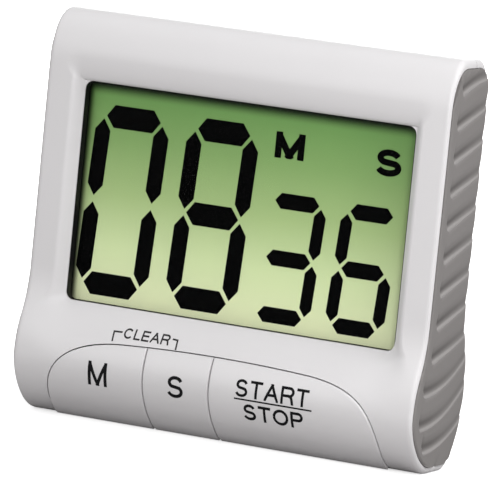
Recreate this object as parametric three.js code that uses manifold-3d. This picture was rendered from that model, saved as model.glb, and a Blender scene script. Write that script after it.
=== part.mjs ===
// Digital countdown timer with a large reflective display, three keys in the chin and soft side grips.
// Millimetres. X runs to the right, Y to the back and Z up. The timer stands on Z = 0.
import * as THREE from "three";
import { mergeVertices } from "three/addons/utils/BufferGeometryUtils.js";
import Module from "manifold-3d";

const wasm = await Module();
wasm.setup();

// Driving dimensions of the case. Its width, height and depth follow from what it holds.
const caseWall = 1.9;
const sideMargin = 6.9; // case beside the window
const headHeight = 12.6; // case above the window
const keyProud = 0.25; // how far the keys stand out of the chin
const chinReach = 3.4; // chin in front of the upper face
const chinHeight = 10.6; // height of the chin's foremost line
const chinRise = 6; // the face starts to swell into the chin this far above the window's lower edge
const heelReach = 3.1; // heel behind the upper back
const heelHeight = 12.8;
const heelTop = 30.8;
const footBefore = 3; // flat foot in front of the parting plane
const footBehind = 3; // and behind it, so that the timer stands with its cell in the heel
const rollDepth = 6; // the rounded top edge, front to back and in height
const rollHeight = 9.2;
const backTopRadius = 6.5;
const frontEdgeRadius = 0.8; // rounding of the side edges
const topEdgeRadius = 1.2;
const bottomEdgeRadius = 1;
const backEdgeRadius = 3;
const partingBehindBoard = 2.6; // joint plane of the two case halves, behind the board
const fitGap = 0.3; // gap between pieces that touch

// Screen frame and window
const windowWidth = 65.6;
const windowHeight = 40;
const windowBottom = 21.3;
const windowCorner = 1.5;
const windowWall = 0.8; // wall behind the edge of the window
const bezelDepth = 2; // window plane behind the face
const facetSlope = 0.8; // sideways spread of the side facets for each millimetre of depth
const curlHeight = 5; // height over which the roll curls in to the window
const rampSag = 5.5; // height of the ramp's corner point below the window

// Display
const holderMargin = 3.1; // holder beyond the window, all round
const holderRim = 0.35; // width of the dark rim that fills the window
const rimSetback = 0.4; // rim behind the window plane
const holderPlate = 0.4;
const holderWall = 0.7;
const paneThickness = 0.5;
const sheetThickness = 0.4;
const backingThickness = 0.6;
const layerGap = 0.25; // between the layers of the display
const ledgeHeight = 2; // ledge of the display that the connector strip presses on
const stripThickness = 1.2;

// Digits of the display. Their places, widths and heights are shares of the window, between the
// middles of their strokes. The lean is sideways, for each millimetre of height.
const digitMargin = 1.25; // below the digits
const largeDigit = { height: 0.765, post: 3.05, bar: 4.1, lean: 0.051 };
const smallDigit = { height: 0.515, post: 2.3, bar: 2.8, lean: 0.065 };
const digits = [
  { value: 0, size: largeDigit, left: 0.0244, width: 0.18 },
  { value: 8, size: largeDigit, left: 0.3056, width: 0.172 },
  { value: 3, size: smallDigit, left: 0.561, width: 0.146 },
  { value: 6, size: smallDigit, left: 0.7866, width: 0.14 },
];
const strokeGap = 0.36; // from the tip of a stroke to the corner line between two strokes

// Keys
const keyMargin = 6.7; // case beside the three keys
const keyFlare = 0.2; // how much wider they are at the foot
const keyShoulder = 3.3; // height where their outline starts to turn in
const keyShoulderWidth = 14; // from their side to the gently arched top
const keyTopEnds = 15.15; // height of the arch at its ends and in the middle
const keyCrown = 15.72;
const keyDividers = [-13.2, 0]; // between minutes and seconds, and between seconds and start
const keyBeforeBoard = 2.1; // rear edge of the keys, under the chin, in front of the board
const keyTravel = 0.7;
const keyWall = 2;
const keyLip = 1.2; // width of the lip that keeps a key in
const keyLipThickness = 1;
const plungerRadius = 1.8;
const padRadius = 3.4;
const padHeight = 2;

// Side grips
const gripThickness = 1;
const gripProud = 0.3;
const gripInset = { front: 0.7, top: 2.1, bottom: 1.3 }; // border of the case around a grip
const gripWrap = 6; // how far the outline of a grip runs on over the back
const gripEdge = 0.45; // rounding of the grip's rim
const grooveRadius = 1.3;
const grooveDepth = 0.55;
const grooveStart = 3.2; // from the front edge of the grip
// A groove starts at a height, rises with a slope, and bends along its run to the back.
const topGroove = { below: 4.9, slope: 0.42, bend: -0.016 }; // below the top of the case
const upperGroove = { below: 11.1, slope: 0.31 };
const lowGroove = { height: 9, slope: 0.03, bend: 0.019 }; // the least height of a groove
const groovePitch = 5.9;
const flatterFrom = 24; // from this height down to the next one the grooves get flatter
const flatterTo = 14;

// Battery and its bay: one cell, 10.5 mm across and 44.5 mm long
const cellDiameter = 10.5;
const cellLength = 44.5;
const cellNub = 0.8;
const cellRise = 0.2; // middle of the cell above the heel's rearmost line
const coverThickness = 1;
const coverGap = 0.25; // from the cell to the cover
const bayClearance = 0.35;
const bayWall = 1.2;
const bayFloor = 1.1;
const boardGap = 0.55; // from the board to the floor of the bay
const springLength = 4.6;
const contactThickness = 0.4;
const contactHalf = 4; // half the height of a contact plate
const tabHalf = 1.2; // half the height of its tab through the bay floor
const springRadius = 4.1;
const springTipRadius = 2.8;
const wireRadius = 0.3;
const coverLap = 1; // cover beyond the bay's hollow
const coverCorner = 1.5;
const thumbSlot = { halfWidth: 0.45, halfHeight: 2.6, depth: 0.35, pitch: 2.2 };

// Stand
const standMargin = 3.7; // from the stand to the buzzer
const standTaper = 6; // the free end is narrower by this
const standTopMargin = 3.4; // from the free end to the rounded top of the back
const standThickness = 1.8;
const hingeDrop = 0.8; // hinge line below the top of the heel
const standPinLength = 1.5;
const standSink = 0.1; // stand below the back
const standRelief = 3.1; // recess below the hinge line
const recessWall = 1.2;
const thumbHalfWidth = 6; // of the notch above the stand's free end
const thumbHeight = 4;

// Board and what it carries
const boardThickness = 0.8;
const boardMargin = 2.3; // board inside the width of the window
const boardBottom = 5.5;
const boardTopMargin = 4.2; // from the board to the top of the case
const boardScrewInset = { x: 6.5, z: 2.4 }; // from the board's corner
const boardScrewHeadRadius = 1.8;
const boardScrewHeadHeight = 1.1;
const boardScrewRadius = 0.7;
const boardScrewLength = 3.4;
const postRadius = 2.2;
const chip = { x: -8, z: 46, radius: 6, height: 1.7 };
const crystalCan = { x: 6, z: 52, radius: 1, length: 6 };

// Case screws and their bosses
const screwInset = 2.4; // from the side of the hollow
const screwLow = 10;
const screwTopMargin = 5.9;
const screwRadius = 1.1;
const screwHeadRadius = 2.3;
const screwHeadHeight = 1.6;
const screwLength = 8;
const screwSeatDepth = 3.9; // under the screw heads, behind the parting plane
const screwPoint = 0.8;
const bossRadius = 3;
const rearBossRadius = 4;

// Buzzer
const buzzerMargin = 1.1; // from the side of the hollow
const buzzerRise = 17.2; // above the heel
const buzzerRadius = 7.6;
const buzzerThickness = 0.5;
const soundHoleRadius = 0.8;
const soundHoleRing = 3.4;
const leadRadius = 0.4;
const leadPitch = 2;
const leadDrop = 10; // from the buzzer down to where the leads meet the board

// Widths and heights worked out from the sizes above
const caseWidth = windowWidth + 2 * sideMargin; // without the grips
const caseHeight = windowBottom + windowHeight + headHeight;
const halfCase = caseWidth / 2;
const windowTop = windowBottom + windowHeight;
const chinTop = windowBottom + chinRise;
const gripFloorX = halfCase + gripProud - gripThickness - fitGap; // floor of the grip's recess
const cavityHalfWidth = gripFloorX - 1.7;
const keyHalfWidth = halfCase - keyMargin;
const keyTopHalf = keyHalfWidth - keyShoulderWidth;
const boardHalfWidth = windowWidth / 2 - boardMargin;
const boardTop = caseHeight - boardTopMargin;
const boardScrewX = boardHalfWidth - boardScrewInset.x;
const boardScrewZ = boardTop - boardScrewInset.z;
const screwX = cavityHalfWidth - screwInset;
const screwHeights = [screwLow, caseHeight - screwTopMargin];
const buzzerX = cavityHalfWidth - buzzerRadius - buzzerMargin;
const buzzerZ = heelTop + buzzerRise;
const cellHeight = heelHeight + cellRise;
const bayHalfHeight = cellDiameter / 2 + bayClearance;
const bayHalfLength = (cellLength + springLength + 2 * contactThickness + 5 * fitGap) / 2;
const standWidth = 2 * (buzzerX - buzzerRadius - standMargin);
const standHinge = heelTop - hingeDrop;
const standLength = caseHeight - backTopRadius - standTopMargin - standHinge;
const recessHalfWidth = standWidth / 2 + fitGap;

// Planes from the front to the back. The depth is what the keys, display, board and cell take up.
const displayDepth = windowWall + holderPlate + paneThickness + sheetThickness + backingThickness
  + 2 * layerGap + 3 * fitGap;
const cellDepth = bayFloor + bayClearance + cellDiameter + coverGap + coverThickness;
const overallDepth = keyProud + chinReach + bezelDepth + displayDepth + boardThickness + boardGap
  + cellDepth;
const heelY = overallDepth / 2;
const chinY = -overallDepth / 2 + keyProud;
const faceY = chinY + chinReach;
const windowY = faceY + bezelDepth;
const windowInnerY = windowY + windowWall;
const holderFrontY = windowInnerY + fitGap;
const pocketY = holderFrontY + holderPlate;
const paneY = pocketY + fitGap;
const sheetY = paneY + paneThickness + layerGap;
const backingY = sheetY + sheetThickness + layerGap;
const boardY = windowY + displayDepth;
const boardBackY = boardY + boardThickness;
const keyEnd = boardY - keyBeforeBoard;
const bayFloorY = boardBackY + boardGap + bayFloor;
const cellY = bayFloorY + bayClearance + cellDiameter / 2;
const partingY = boardBackY + partingBehindBoard;
const footFront = partingY - footBefore;
const footBack = partingY + footBehind;
const backY = heelY - heelReach;
const screwSeat = partingY + screwSeatDepth;
const standY = backY - standSink - standThickness / 2;
const recessFloorY = standY - standThickness / 2 - fitGap;
const curveSteps = 6;

// Shape tools

const alongX = new THREE.Matrix4().makeBasis(
  new THREE.Vector3(0, 1, 0),
  new THREE.Vector3(0, 0, 1),
  new THREE.Vector3(1, 0, 0),
);
const alongMinusY = new THREE.Matrix4().makeBasis(
  new THREE.Vector3(1, 0, 0),
  new THREE.Vector3(0, 0, 1),
  new THREE.Vector3(0, -1, 0),
);

// A closed three.js geometry as a solid that can be joined and cut.
function solid(geometry) {
  const bare = geometry.clone();
  bare.deleteAttribute("normal");
  bare.deleteAttribute("uv");
  const merged = mergeVertices(bare, 1e-4);
  const triVerts = new Uint32Array(merged.index.array);
  const vertProperties = new Float32Array(merged.attributes.position.array);
  const made = new wasm.Manifold(new wasm.Mesh({ numProp: 3, vertProperties, triVerts }));
  if (made.volume() > 0) return made;
  for (let i = 0; i < triVerts.length; i += 3) {
    [triVerts[i], triVerts[i + 1]] = [triVerts[i + 1], triVerts[i]];
  }
  return new wasm.Manifold(new wasm.Mesh({ numProp: 3, vertProperties, triVerts }));
}

function geometryOf(form) {
  const { numProp, vertProperties, triVerts } = form.getMesh();
  const positions = new Float32Array((vertProperties.length / numProp) * 3);
  for (let i = 0; i < positions.length / 3; i++) {
    positions.set(vertProperties.subarray(i * numProp, i * numProp + 3), i * 3);
  }
  const geometry = new THREE.BufferGeometry();
  geometry.setAttribute("position", new THREE.BufferAttribute(positions, 3));
  geometry.setIndex(new THREE.BufferAttribute(new Uint32Array(triVerts), 1));
  geometry.computeVertexNormals();
  return geometry;
}

// A box between two corners.
function block(x0, x1, y0, y1, z0, z1) {
  const box = new THREE.BoxGeometry(x1 - x0, y1 - y0, z1 - z0);
  box.translate((x0 + x1) / 2, (y0 + y1) / 2, (z0 + z1) / 2);
  return solid(box);
}

// A front-view outline made into a prism between two depths.
function prismY(shape, y0, y1, steps = curveSteps) {
  const prism = new THREE.ExtrudeGeometry(shape, {
    depth: y1 - y0,
    bevelEnabled: false,
    curveSegments: steps,
  });
  prism.applyMatrix4(alongMinusY);
  prism.translate(0, y1, 0);
  return solid(prism);
}

// A side-view outline made into a prism between two widths.
function prismX(points, x0, x1) {
  const shape = new THREE.Shape(points);
  const prism = new THREE.ExtrudeGeometry(shape, { depth: x1 - x0, bevelEnabled: false });
  prism.applyMatrix4(alongX);
  prism.translate(x0, 0, 0);
  return solid(prism);
}

// A round bar along Y.
function barY(x, z, radius, y0, y1, sides = 16) {
  const bar = new THREE.CylinderGeometry(radius, radius, y1 - y0, sides);
  bar.translate(x, (y0 + y1) / 2, z);
  return solid(bar);
}

function roundedRectangle(x0, x1, z0, z1, radius) {
  const shape = new THREE.Shape();
  shape.moveTo(x0 + radius, z0);
  shape.lineTo(x1 - radius, z0);
  shape.absarc(x1 - radius, z0 + radius, radius, -Math.PI / 2, 0);
  shape.lineTo(x1, z1 - radius);
  shape.absarc(x1 - radius, z1 - radius, radius, 0, Math.PI / 2);
  shape.lineTo(x0 + radius, z1);
  shape.absarc(x0 + radius, z1 - radius, radius, Math.PI / 2, Math.PI);
  shape.lineTo(x0, z0 + radius);
  shape.absarc(x0 + radius, z0 + radius, radius, Math.PI, Math.PI * 1.5);
  return shape;
}

// Rings of equal point count joined into one closed skin, with flat caps at both ends.
function loft(rings, flatten) {
  const count = rings[0].length;
  const positions = rings.flat().flatMap((p) => [p.x, p.y, p.z]);
  const index = [];
  for (let r = 0; r < rings.length - 1; r++) {
    for (let i = 0; i < count; i++) {
      const a = r * count + i;
      const b = r * count + ((i + 1) % count);
      index.push(a, b, b + count, a, b + count, a + count);
    }
  }
  const cap = THREE.ShapeUtils.triangulateShape(rings[0].map(flatten), []);
  const last = (rings.length - 1) * count;
  for (const [a, b, c] of cap) index.push(c, b, a);
  const endCap = THREE.ShapeUtils.triangulateShape(rings.at(-1).map(flatten), []);
  for (const [a, b, c] of endCap) index.push(last + a, last + b, last + c);
  const geometry = new THREE.BufferGeometry();
  geometry.setAttribute("position", new THREE.Float32BufferAttribute(positions, 3));
  geometry.setIndex(index);
  return solid(geometry);
}

// Outward normals of a closed outline that runs counter-clockwise.
function outlineNormals(points) {
  return points.map((point, i) => {
    const before = points.at(i - 1);
    const after = points[(i + 1) % points.length];
    const inEdge = point.clone().sub(before).normalize();
    const outEdge = after.clone().sub(point).normalize();
    const along = inEdge.add(outEdge).normalize();
    return new THREE.Vector2(along.y, -along.x);
  });
}

// The outline moved inwards, by its own amount towards each side.
function insetOutline(points, inset) {
  const normals = outlineNormals(points);
  return points.map((point, i) => {
    const { x, y } = normals[i];
    const sideways = x < 0 ? inset.front : inset.back;
    const upright = y > 0 ? inset.top : inset.bottom;
    return new THREE.Vector2(point.x - x * sideways, point.y - y * upright);
  });
}

const evenInset = (amount) => ({ front: amount, back: amount, top: amount, bottom: amount });

// Outlines of the case, seen from the side

// Foot, heel, back and roll, which every outline of the case shares. The roll ends at a height.
function startOutline(rollEnd) {
  const shape = new THREE.Shape();
  shape.moveTo(footFront, 0);
  shape.lineTo(footBack, 0);
  shape.bezierCurveTo(footBack + 3.4, 0, heelY, heelHeight * 0.33, heelY, heelHeight);
  const heelMiddle = (heelHeight + heelTop) / 2;
  shape.bezierCurveTo(heelY, heelMiddle, backY, heelMiddle, backY, heelTop);
  const cornerZ = caseHeight - backTopRadius;
  shape.lineTo(backY, cornerZ);
  shape.absarc(backY - backTopRadius, cornerZ, backTopRadius, 0, Math.PI / 2);
  shape.lineTo(faceY + rollDepth, caseHeight);
  const rollZ = caseHeight - rollHeight;
  const turn = Math.PI - Math.asin((rollEnd - rollZ) / rollHeight);
  shape.absellipse(faceY + rollDepth, rollZ, rollDepth, rollHeight, Math.PI / 2, turn);
  return shape;
}

function closeUnderChin(shape) {
  shape.bezierCurveTo(chinY, chinHeight * 0.58, footFront - 4.6, 0, footFront, 0);
  const points = shape.getPoints(curveSteps);
  return points.filter((p, i) => p.distanceTo(points.at(i - 1)) > 1e-4);
}

// The outline at the sides: a straight face that swells into the chin.
function sideOutline() {
  const shape = startOutline(caseHeight - rollHeight);
  shape.lineTo(faceY, chinTop);
  const swellMiddle = (chinTop + chinHeight) / 2;
  shape.bezierCurveTo(faceY, swellMiddle, chinY, swellMiddle, chinY, chinHeight);
  return closeUnderChin(shape);
}

// The outline in the middle: the roll curls in to the window, and a ramp runs from it to the chin.
function middleOutline() {
  const curlTop = windowTop + curlHeight;
  const shape = startOutline(curlTop);
  const curlDepth = windowY - shape.currentPoint.x;
  shape.absellipse(windowY, curlTop, curlDepth, curlHeight, Math.PI, Math.PI * 1.5);
  shape.lineTo(windowY, windowBottom);
  shape.quadraticCurveTo(chinY, windowBottom - rampSag, chinY, chinHeight);
  return closeUnderChin(shape);
}

const sidePoints = sideOutline();
const middlePoints = middleOutline();

// The whole outer form: the side outline across the width, drawn in at both ends by the edge radii.
function caseForm(extra = 0) {
  const half = halfCase + extra;
  const drawIn = (radius, x) => {
    const reach = Math.max(0, x - (half - radius)) / radius;
    return radius - Math.sqrt(Math.max(0, radius * radius - (reach * radius) ** 2)) - extra;
  };
  const ring = (x) => {
    const inset = {
      front: drawIn(frontEdgeRadius, Math.abs(x)),
      top: drawIn(topEdgeRadius, Math.abs(x)),
      bottom: drawIn(bottomEdgeRadius, Math.abs(x)) + extra,
      back: drawIn(backEdgeRadius, Math.abs(x)),
    };
    return insetOutline(sidePoints, inset).map((p) => new THREE.Vector3(x, p.x, p.y));
  };
  const ends = [];
  for (let k = 0; k <= curveSteps; k++) {
    const bend = Math.sin((k / curveSteps) * (Math.PI / 2));
    ends.push(half - backEdgeRadius * (1 - bend));
  }
  const places = [...ends.map((x) => -x).reverse(), ...ends];
  return loft(places.map(ring), (p) => new THREE.Vector2(p.y, p.z));
}

// What is cut out of the face in front of the window: a straight facet at each side, the curl above
// and the ramp below.
function bezelCut() {
  const rings = [];
  const ringCount = 14;
  const windowHalf = windowWidth / 2;
  const ring = (depth, lower) => {
    const spread = facetSlope * depth;
    const curl = Math.sqrt(Math.max(0, 1 - (depth / bezelDepth) ** 2));
    const top = windowTop + curlHeight * (1 - curl);
    const half = windowHalf + spread;
    const outline = roundedRectangle(-half, half, lower, top, windowCorner);
    const points = outline.getPoints(3).slice(0, -1);
    return points.map((p) => new THREE.Vector3(p.x, windowY - depth, p.y));
  };
  const rampDepth = windowY - chinY;
  for (let k = 0; k <= ringCount; k++) {
    const t = (k / ringCount) ** 1.5;
    const depth = rampDepth * (2 * t - t * t);
    const drop = 2 * t * (1 - t) * rampSag + t * t * (windowBottom - chinHeight);
    rings.push(ring(depth, windowBottom - drop));
  }
  const foremost = rings.at(-1).map((p) => new THREE.Vector3(p.x, chinY - 3, p.z));
  rings.push(foremost);
  return loft(rings, (p) => new THREE.Vector2(p.x, p.z));
}

// The hollow inside the case: the middle outline moved in by the wall, flat behind the window.
function cavityForm() {
  const inner = insetOutline(middlePoints, evenInset(caseWall));
  const flatFrom = windowBottom - ledgeHeight;
  const flatTo = windowTop + curlHeight - 0.6;
  const curved = (p) => p.x > 0 || p.y < flatFrom || p.y > flatTo;
  const firstFlat = inner.findIndex((p) => !curved(p));
  const flat = [flatTo, flatFrom].map((z) => new THREE.Vector2(windowInnerY, z));
  const points = [
    ...inner.slice(0, firstFlat),
    ...flat,
    ...inner.slice(firstFlat).filter(curved),
  ];
  return prismX(points, -cavityHalfWidth, cavityHalfWidth);
}

// Side-view outline of a grip. A border of the case stays free in front, above and below. Where the
// outline faces the back, the grip runs on over the case's edge.
function gripOutline(grow = 0) {
  const normals = outlineNormals(sidePoints);
  return sidePoints.map((point, i) => {
    const { x, y } = normals[i];
    const upright = y > 0 ? gripInset.top : gripInset.bottom;
    const level = 1 - THREE.MathUtils.smoothstep(Math.abs(y), 0.45, 0.85);
    const behind = THREE.MathUtils.lerp(upright, -gripWrap, level);
    const sideways = x < 0 ? gripInset.front : behind;
    return new THREE.Vector2(point.x - x * (sideways - grow), point.y - y * (upright - grow));
  });
}

function gripRecess(side) {
  const reach = [gripFloorX, halfCase + 5].map((x) => x * side).sort((a, b) => a - b);
  return prismX(gripOutline(fitGap), reach[0], reach[1]);
}

// Front or back point of an outline at a height.
function outlineYAt(points, height, pick) {
  const found = [];
  points.forEach((p, i) => {
    const next = points[(i + 1) % points.length];
    if ((p.y - height) * (next.y - height) > 0 || p.y === next.y) return;
    found.push(p.x + ((next.x - p.x) * (height - p.y)) / (next.y - p.y));
  });
  return found.length ? pick(...found) : 0;
}

// Front outline of the keys, which runs out under the chin. It may be cut to one key's stretch.
function keyOutline(grow, from = -Infinity, to = Infinity) {
  const shape = new THREE.Shape();
  const below = -2;
  const sideX = keyHalfWidth - 0.2; // controls of the round shoulders
  const sideZ = keyShoulder + 8.1;
  const topX = keyTopHalf + 8.8;
  const topZ = keyTopEnds - 0.75;
  shape.moveTo(keyHalfWidth + keyFlare, below);
  shape.lineTo(keyHalfWidth, keyShoulder);
  shape.bezierCurveTo(sideX, sideZ, topX, topZ, keyTopHalf, keyTopEnds);
  shape.quadraticCurveTo(0, 2 * keyCrown - keyTopEnds, -keyTopHalf, keyTopEnds);
  shape.bezierCurveTo(-topX, topZ, -sideX, sideZ, -keyHalfWidth, keyShoulder);
  shape.lineTo(-keyHalfWidth - keyFlare, below);
  const outline = insetOutline(shape.getPoints(8), evenInset(-grow));
  const whole = prismY(new THREE.Shape(outline), chinY - 2, boardY, 8);
  const reach = halfCase;
  return whole.intersect(
    block(Math.max(from, -reach), Math.min(to, reach), chinY - 3, boardY + 1, -3, caseHeight),
  );
}

// The chin from the ramp to the foot, moved inwards by an amount.
function chinForm(inset) {
  const front = middlePoints.filter((p) => p.x < 0 && p.y <= windowBottom);
  const behind = [0, windowBottom].map((z) => new THREE.Vector2(footFront + 5, z));
  return prismX(insetOutline([...front, ...behind], evenInset(inset)), -halfCase, halfCase);
}

// Case

const outerForm = caseForm();
const cavity = cavityForm();

function bossPlaces() {
  return [-1, 1].flatMap((side) => screwHeights.map((z) => [side * screwX, z]));
}

function frontShell() {
  const room = { x: halfCase + 5, z: caseHeight + 5 };
  const half = block(-room.x, room.x, chinY - 5, partingY, -5, room.z);
  const windowShape = roundedRectangle(
    -windowWidth / 2, windowWidth / 2, windowBottom, windowTop, windowCorner,
  );
  let shell = outerForm.intersect(half).subtract(bezelCut()).subtract(cavity);
  for (const [x, z] of bossPlaces()) {
    const start = z > caseHeight / 2 ? faceY + 1 : chinY + 6;
    shell = shell.add(barY(x, z, bossRadius, start, partingY).intersect(outerForm));
  }
  for (const side of [-1, 1]) {
    const post = barY(side * boardScrewX, boardScrewZ, postRadius, windowY, boardY - fitGap);
    shell = shell.add(post);
    const boreRadius = boardScrewRadius + fitGap;
    const bore = barY(side * boardScrewX, boardScrewZ, boreRadius, windowInnerY + 0.8, boardY);
    shell = shell.subtract(bore).subtract(gripRecess(side));
  }
  for (const [x, z] of bossPlaces()) {
    shell = shell.subtract(barY(x, z, screwRadius + fitGap, screwSeat - screwLength - 1, 2));
  }
  const keyHole = keyOutline(fitGap).intersect(
    block(-halfCase, halfCase, chinY - 3, keyEnd + keyTravel + fitGap, -3, keyCrown + 2),
  );
  return shell.subtract(prismY(windowShape, faceY, windowInnerY + 1)).subtract(keyHole);
}

function coverPrism(lap) {
  const half = bayHalfLength + lap;
  const low = cellHeight - bayHalfHeight - lap;
  const high = cellHeight + bayHalfHeight + lap;
  return prismY(roundedRectangle(-half, half, low, high, coverCorner), cellY, heelY + 3);
}

// The whole case, moved inwards by an amount, as wide as the case.
function innerForm(inset) {
  return prismX(insetOutline(sidePoints, evenInset(inset)), -halfCase, halfCase);
}

function standRecess(extra) {
  const half = recessHalfWidth + extra;
  const low = standHinge - standRelief - extra;
  const high = standHinge + standLength + fitGap + extra;
  return block(-half, half, recessFloorY - extra, heelY, low, high);
}

function soundHoles() {
  const places = [[buzzerX, buzzerZ]];
  for (let i = 0; i < 6; i++) {
    const angle = (i * Math.PI) / 3;
    places.push([
      buzzerX + soundHoleRing * Math.cos(angle),
      buzzerZ + soundHoleRing * Math.sin(angle),
    ]);
  }
  return places.map(([x, z]) => barY(x, z, soundHoleRadius, buzzerY(), heelY, 8));
}

const buzzerSeat = () => backY - caseWall - 0.7;
const buzzerY = () => buzzerSeat() - fitGap - buzzerThickness;

function rearShell() {
  const room = { x: halfCase + 5, z: caseHeight + 5 };
  const rearHalf = block(-room.x, room.x, partingY + fitGap, heelY + 5, -5, room.z);
  let shell = outerForm.intersect(rearHalf).subtract(cavity);
  const bayEnd = bayHalfLength + bayWall;
  const bayLow = cellHeight - bayHalfHeight;
  const bayHigh = cellHeight + bayHalfHeight;
  const bayBox = block(-bayEnd, bayEnd, bayFloorY - bayFloor, heelY, bayLow - bayWall, bayHigh + bayWall);
  const inside = outerForm.subtract(block(-room.x, room.x, -20, bayFloorY - bayFloor, -5, room.z));
  shell = shell.add(bayBox.intersect(inside));
  shell = shell.add(standRecess(recessWall).intersect(inside));
  for (const [x, z] of bossPlaces()) {
    const boss = barY(x, z, rearBossRadius, partingY + fitGap, heelY, 20);
    shell = shell.add(boss.intersect(outerForm));
  }
  const ring = barY(buzzerX, buzzerZ, buzzerRadius + 0.6, buzzerSeat(), backY - 1, 20);
  const ringBore = barY(buzzerX, buzzerZ, buzzerRadius - 1, buzzerSeat() - 1, backY - caseWall, 20);
  shell = shell.add(ring).subtract(ringBore);
  shell = shell.subtract(
    block(-bayHalfLength, bayHalfLength, bayFloorY, heelY + 5, bayLow, bayHigh),
  );
  shell = shell.subtract(coverPrism(coverLap).subtract(innerForm(coverThickness + fitGap)));
  shell = shell.subtract(standRecess(0));
  const standEnd = standHinge + standLength;
  shell = shell.subtract(
    block(-thumbHalfWidth, thumbHalfWidth, recessFloorY, heelY, standEnd, standEnd + thumbHeight),
  );
  for (const side of [-1, 1]) {
    const ends = [recessHalfWidth - 1, recessHalfWidth + standPinLength + fitGap];
    const [x0, x1] = ends.map((x) => x * side).sort((a, b) => a - b);
    shell = shell.subtract(pinX(standThickness / 2 + fitGap, x0, x1)).subtract(gripRecess(side));
    const slotX = side * (bayHalfLength - fitGap - contactThickness / 2);
    const slotHalf = contactThickness / 2 + fitGap;
    const slotEnds = [cellHeight - tabHalf - 0.4, cellHeight + tabHalf + 0.4];
    shell = shell.subtract(
      block(slotX - slotHalf, slotX + slotHalf, bayFloorY - bayFloor - 1, bayFloorY + 1, ...slotEnds),
    );
  }
  for (const [x, z] of bossPlaces()) {
    shell = shell.subtract(barY(x, z, screwRadius + fitGap, 0, heelY + 1));
    shell = shell.subtract(barY(x, z, screwHeadRadius + fitGap * 2, screwSeat, heelY + 1, 20));
  }
  for (const hole of soundHoles()) shell = shell.subtract(hole);
  return shell;
}

// A round bar along X on the stand's hinge line.
function pinX(radius, x0, x1) {
  const bar = new THREE.CylinderGeometry(radius, radius, x1 - x0, 16);
  bar.rotateZ(Math.PI / 2);
  bar.translate((x0 + x1) / 2, standY, standHinge);
  return solid(bar);
}

// Grip

// The grooves of a grip from the top down. The lowest ones are flat at first and then turn up.
function grooves() {
  const list = [{ ...topGroove, height: caseHeight - topGroove.below }];
  const highest = caseHeight - upperGroove.below;
  for (let height = highest; height > lowGroove.height; height -= groovePitch) {
    const flatter = 1 - THREE.MathUtils.smoothstep(height, flatterTo, flatterFrom);
    const slope = THREE.MathUtils.lerp(upperGroove.slope, lowGroove.slope, flatter);
    list.push({ height, slope, bend: lowGroove.bend * flatter });
  }
  return list;
}

// One groove: a round channel that rises to the back and turns round the rear corner of the grip.
function gripGroove({ height, slope, bend }) {
  const rimX = halfCase + gripProud + grooveRadius - grooveDepth;
  const start = outlineYAt(gripOutline(), height, Math.min) + grooveStart;
  const cornerX = halfCase - backEdgeRadius;
  const turnRadius = rimX - cornerX;
  const points = [];
  const rise = (y) => height + (y - start) * slope + (y - start) ** 2 * bend;
  const guess = outlineYAt(sidePoints, height, Math.max);
  const cornerY = outlineYAt(sidePoints, Math.min(rise(guess), caseHeight - 1), Math.max) - backEdgeRadius;
  for (let k = 0; k <= 4; k++) {
    const y = start + ((cornerY - start) * k) / 4;
    points.push(new THREE.Vector3(rimX, y, rise(y)));
  }
  for (let k = 1; k <= 4; k++) {
    const angle = (k / 4) * (Math.PI / 2) * 1.05;
    const y = cornerY + turnRadius * Math.sin(angle);
    const turned = cornerY + turnRadius * angle;
    points.push(new THREE.Vector3(cornerX + turnRadius * Math.cos(angle), y, rise(turned)));
  }
  const circle = new THREE.Shape();
  circle.absarc(0, 0, grooveRadius, 0, Math.PI * 2);
  const channel = new THREE.ExtrudeGeometry(circle, {
    steps: 12,
    curveSegments: 5,
    bevelEnabled: false,
    extrudePath: new THREE.CatmullRomCurve3(points),
  });
  const end = new THREE.SphereGeometry(grooveRadius, 10, 8);
  end.translate(points[0].x, points[0].y, points[0].z);
  return solid(channel).add(solid(end));
}

function grip() {
  const face = halfCase + gripProud;
  const inner = gripFloorX + fitGap;
  const ringAt = (x, inset) => {
    const outline = insetOutline(gripOutline(), { ...evenInset(inset), back: 0 });
    return outline.map((p) => new THREE.Vector3(x, p.x, p.y));
  };
  const rings = [ringAt(inner, 0), ringAt(face - gripEdge, 0)];
  rings.push(ringAt(face - gripEdge * 0.3, gripEdge * 0.3), ringAt(face, gripEdge));
  let form = loft(rings, (p) => new THREE.Vector2(p.y, p.z)).intersect(caseForm(gripProud));
  for (const groove of grooves()) form = form.subtract(gripGroove(groove));
  return form;
}

// Display

function displayHolder() {
  const outer = [windowWidth / 2 + holderMargin, windowBottom - holderMargin, windowTop + holderMargin];
  const body = roundedRectangle(-outer[0], outer[0], outer[1], outer[2], 1);
  const rimGap = fitGap;
  const rim = roundedRectangle(
    -windowWidth / 2 + rimGap, windowWidth / 2 - rimGap,
    windowBottom + rimGap, windowTop - rimGap, windowCorner - rimGap,
  );
  const inset = rimGap + holderRim;
  const opening = roundedRectangle(
    -windowWidth / 2 + inset, windowWidth / 2 - inset,
    windowBottom + inset, windowTop - inset, windowCorner - inset,
  );
  const pocket = roundedRectangle(
    -outer[0] + holderWall, outer[0] - holderWall, outer[1] + holderWall, outer[2] - holderWall, 0.5,
  );
  return prismY(body, holderFrontY, boardY - fitGap)
    .add(prismY(rim, windowY + rimSetback, holderFrontY + 0.1))
    .subtract(prismY(opening, windowY, holderFrontY + 2))
    .subtract(prismY(pocket, pocketY, boardY));
}

// A plate in the holder's pocket. Its lower edge may be raised.
function displayPlate(y0, thickness, raise = 0) {
  const half = windowWidth / 2 + holderMargin - holderWall - fitGap;
  const low = windowBottom - holderMargin + holderWall + fitGap + raise;
  const high = windowTop + holderMargin - holderWall - fitGap;
  return prismY(roundedRectangle(-half, half, low, high, 0.4), y0, y0 + thickness, 2);
}

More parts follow.
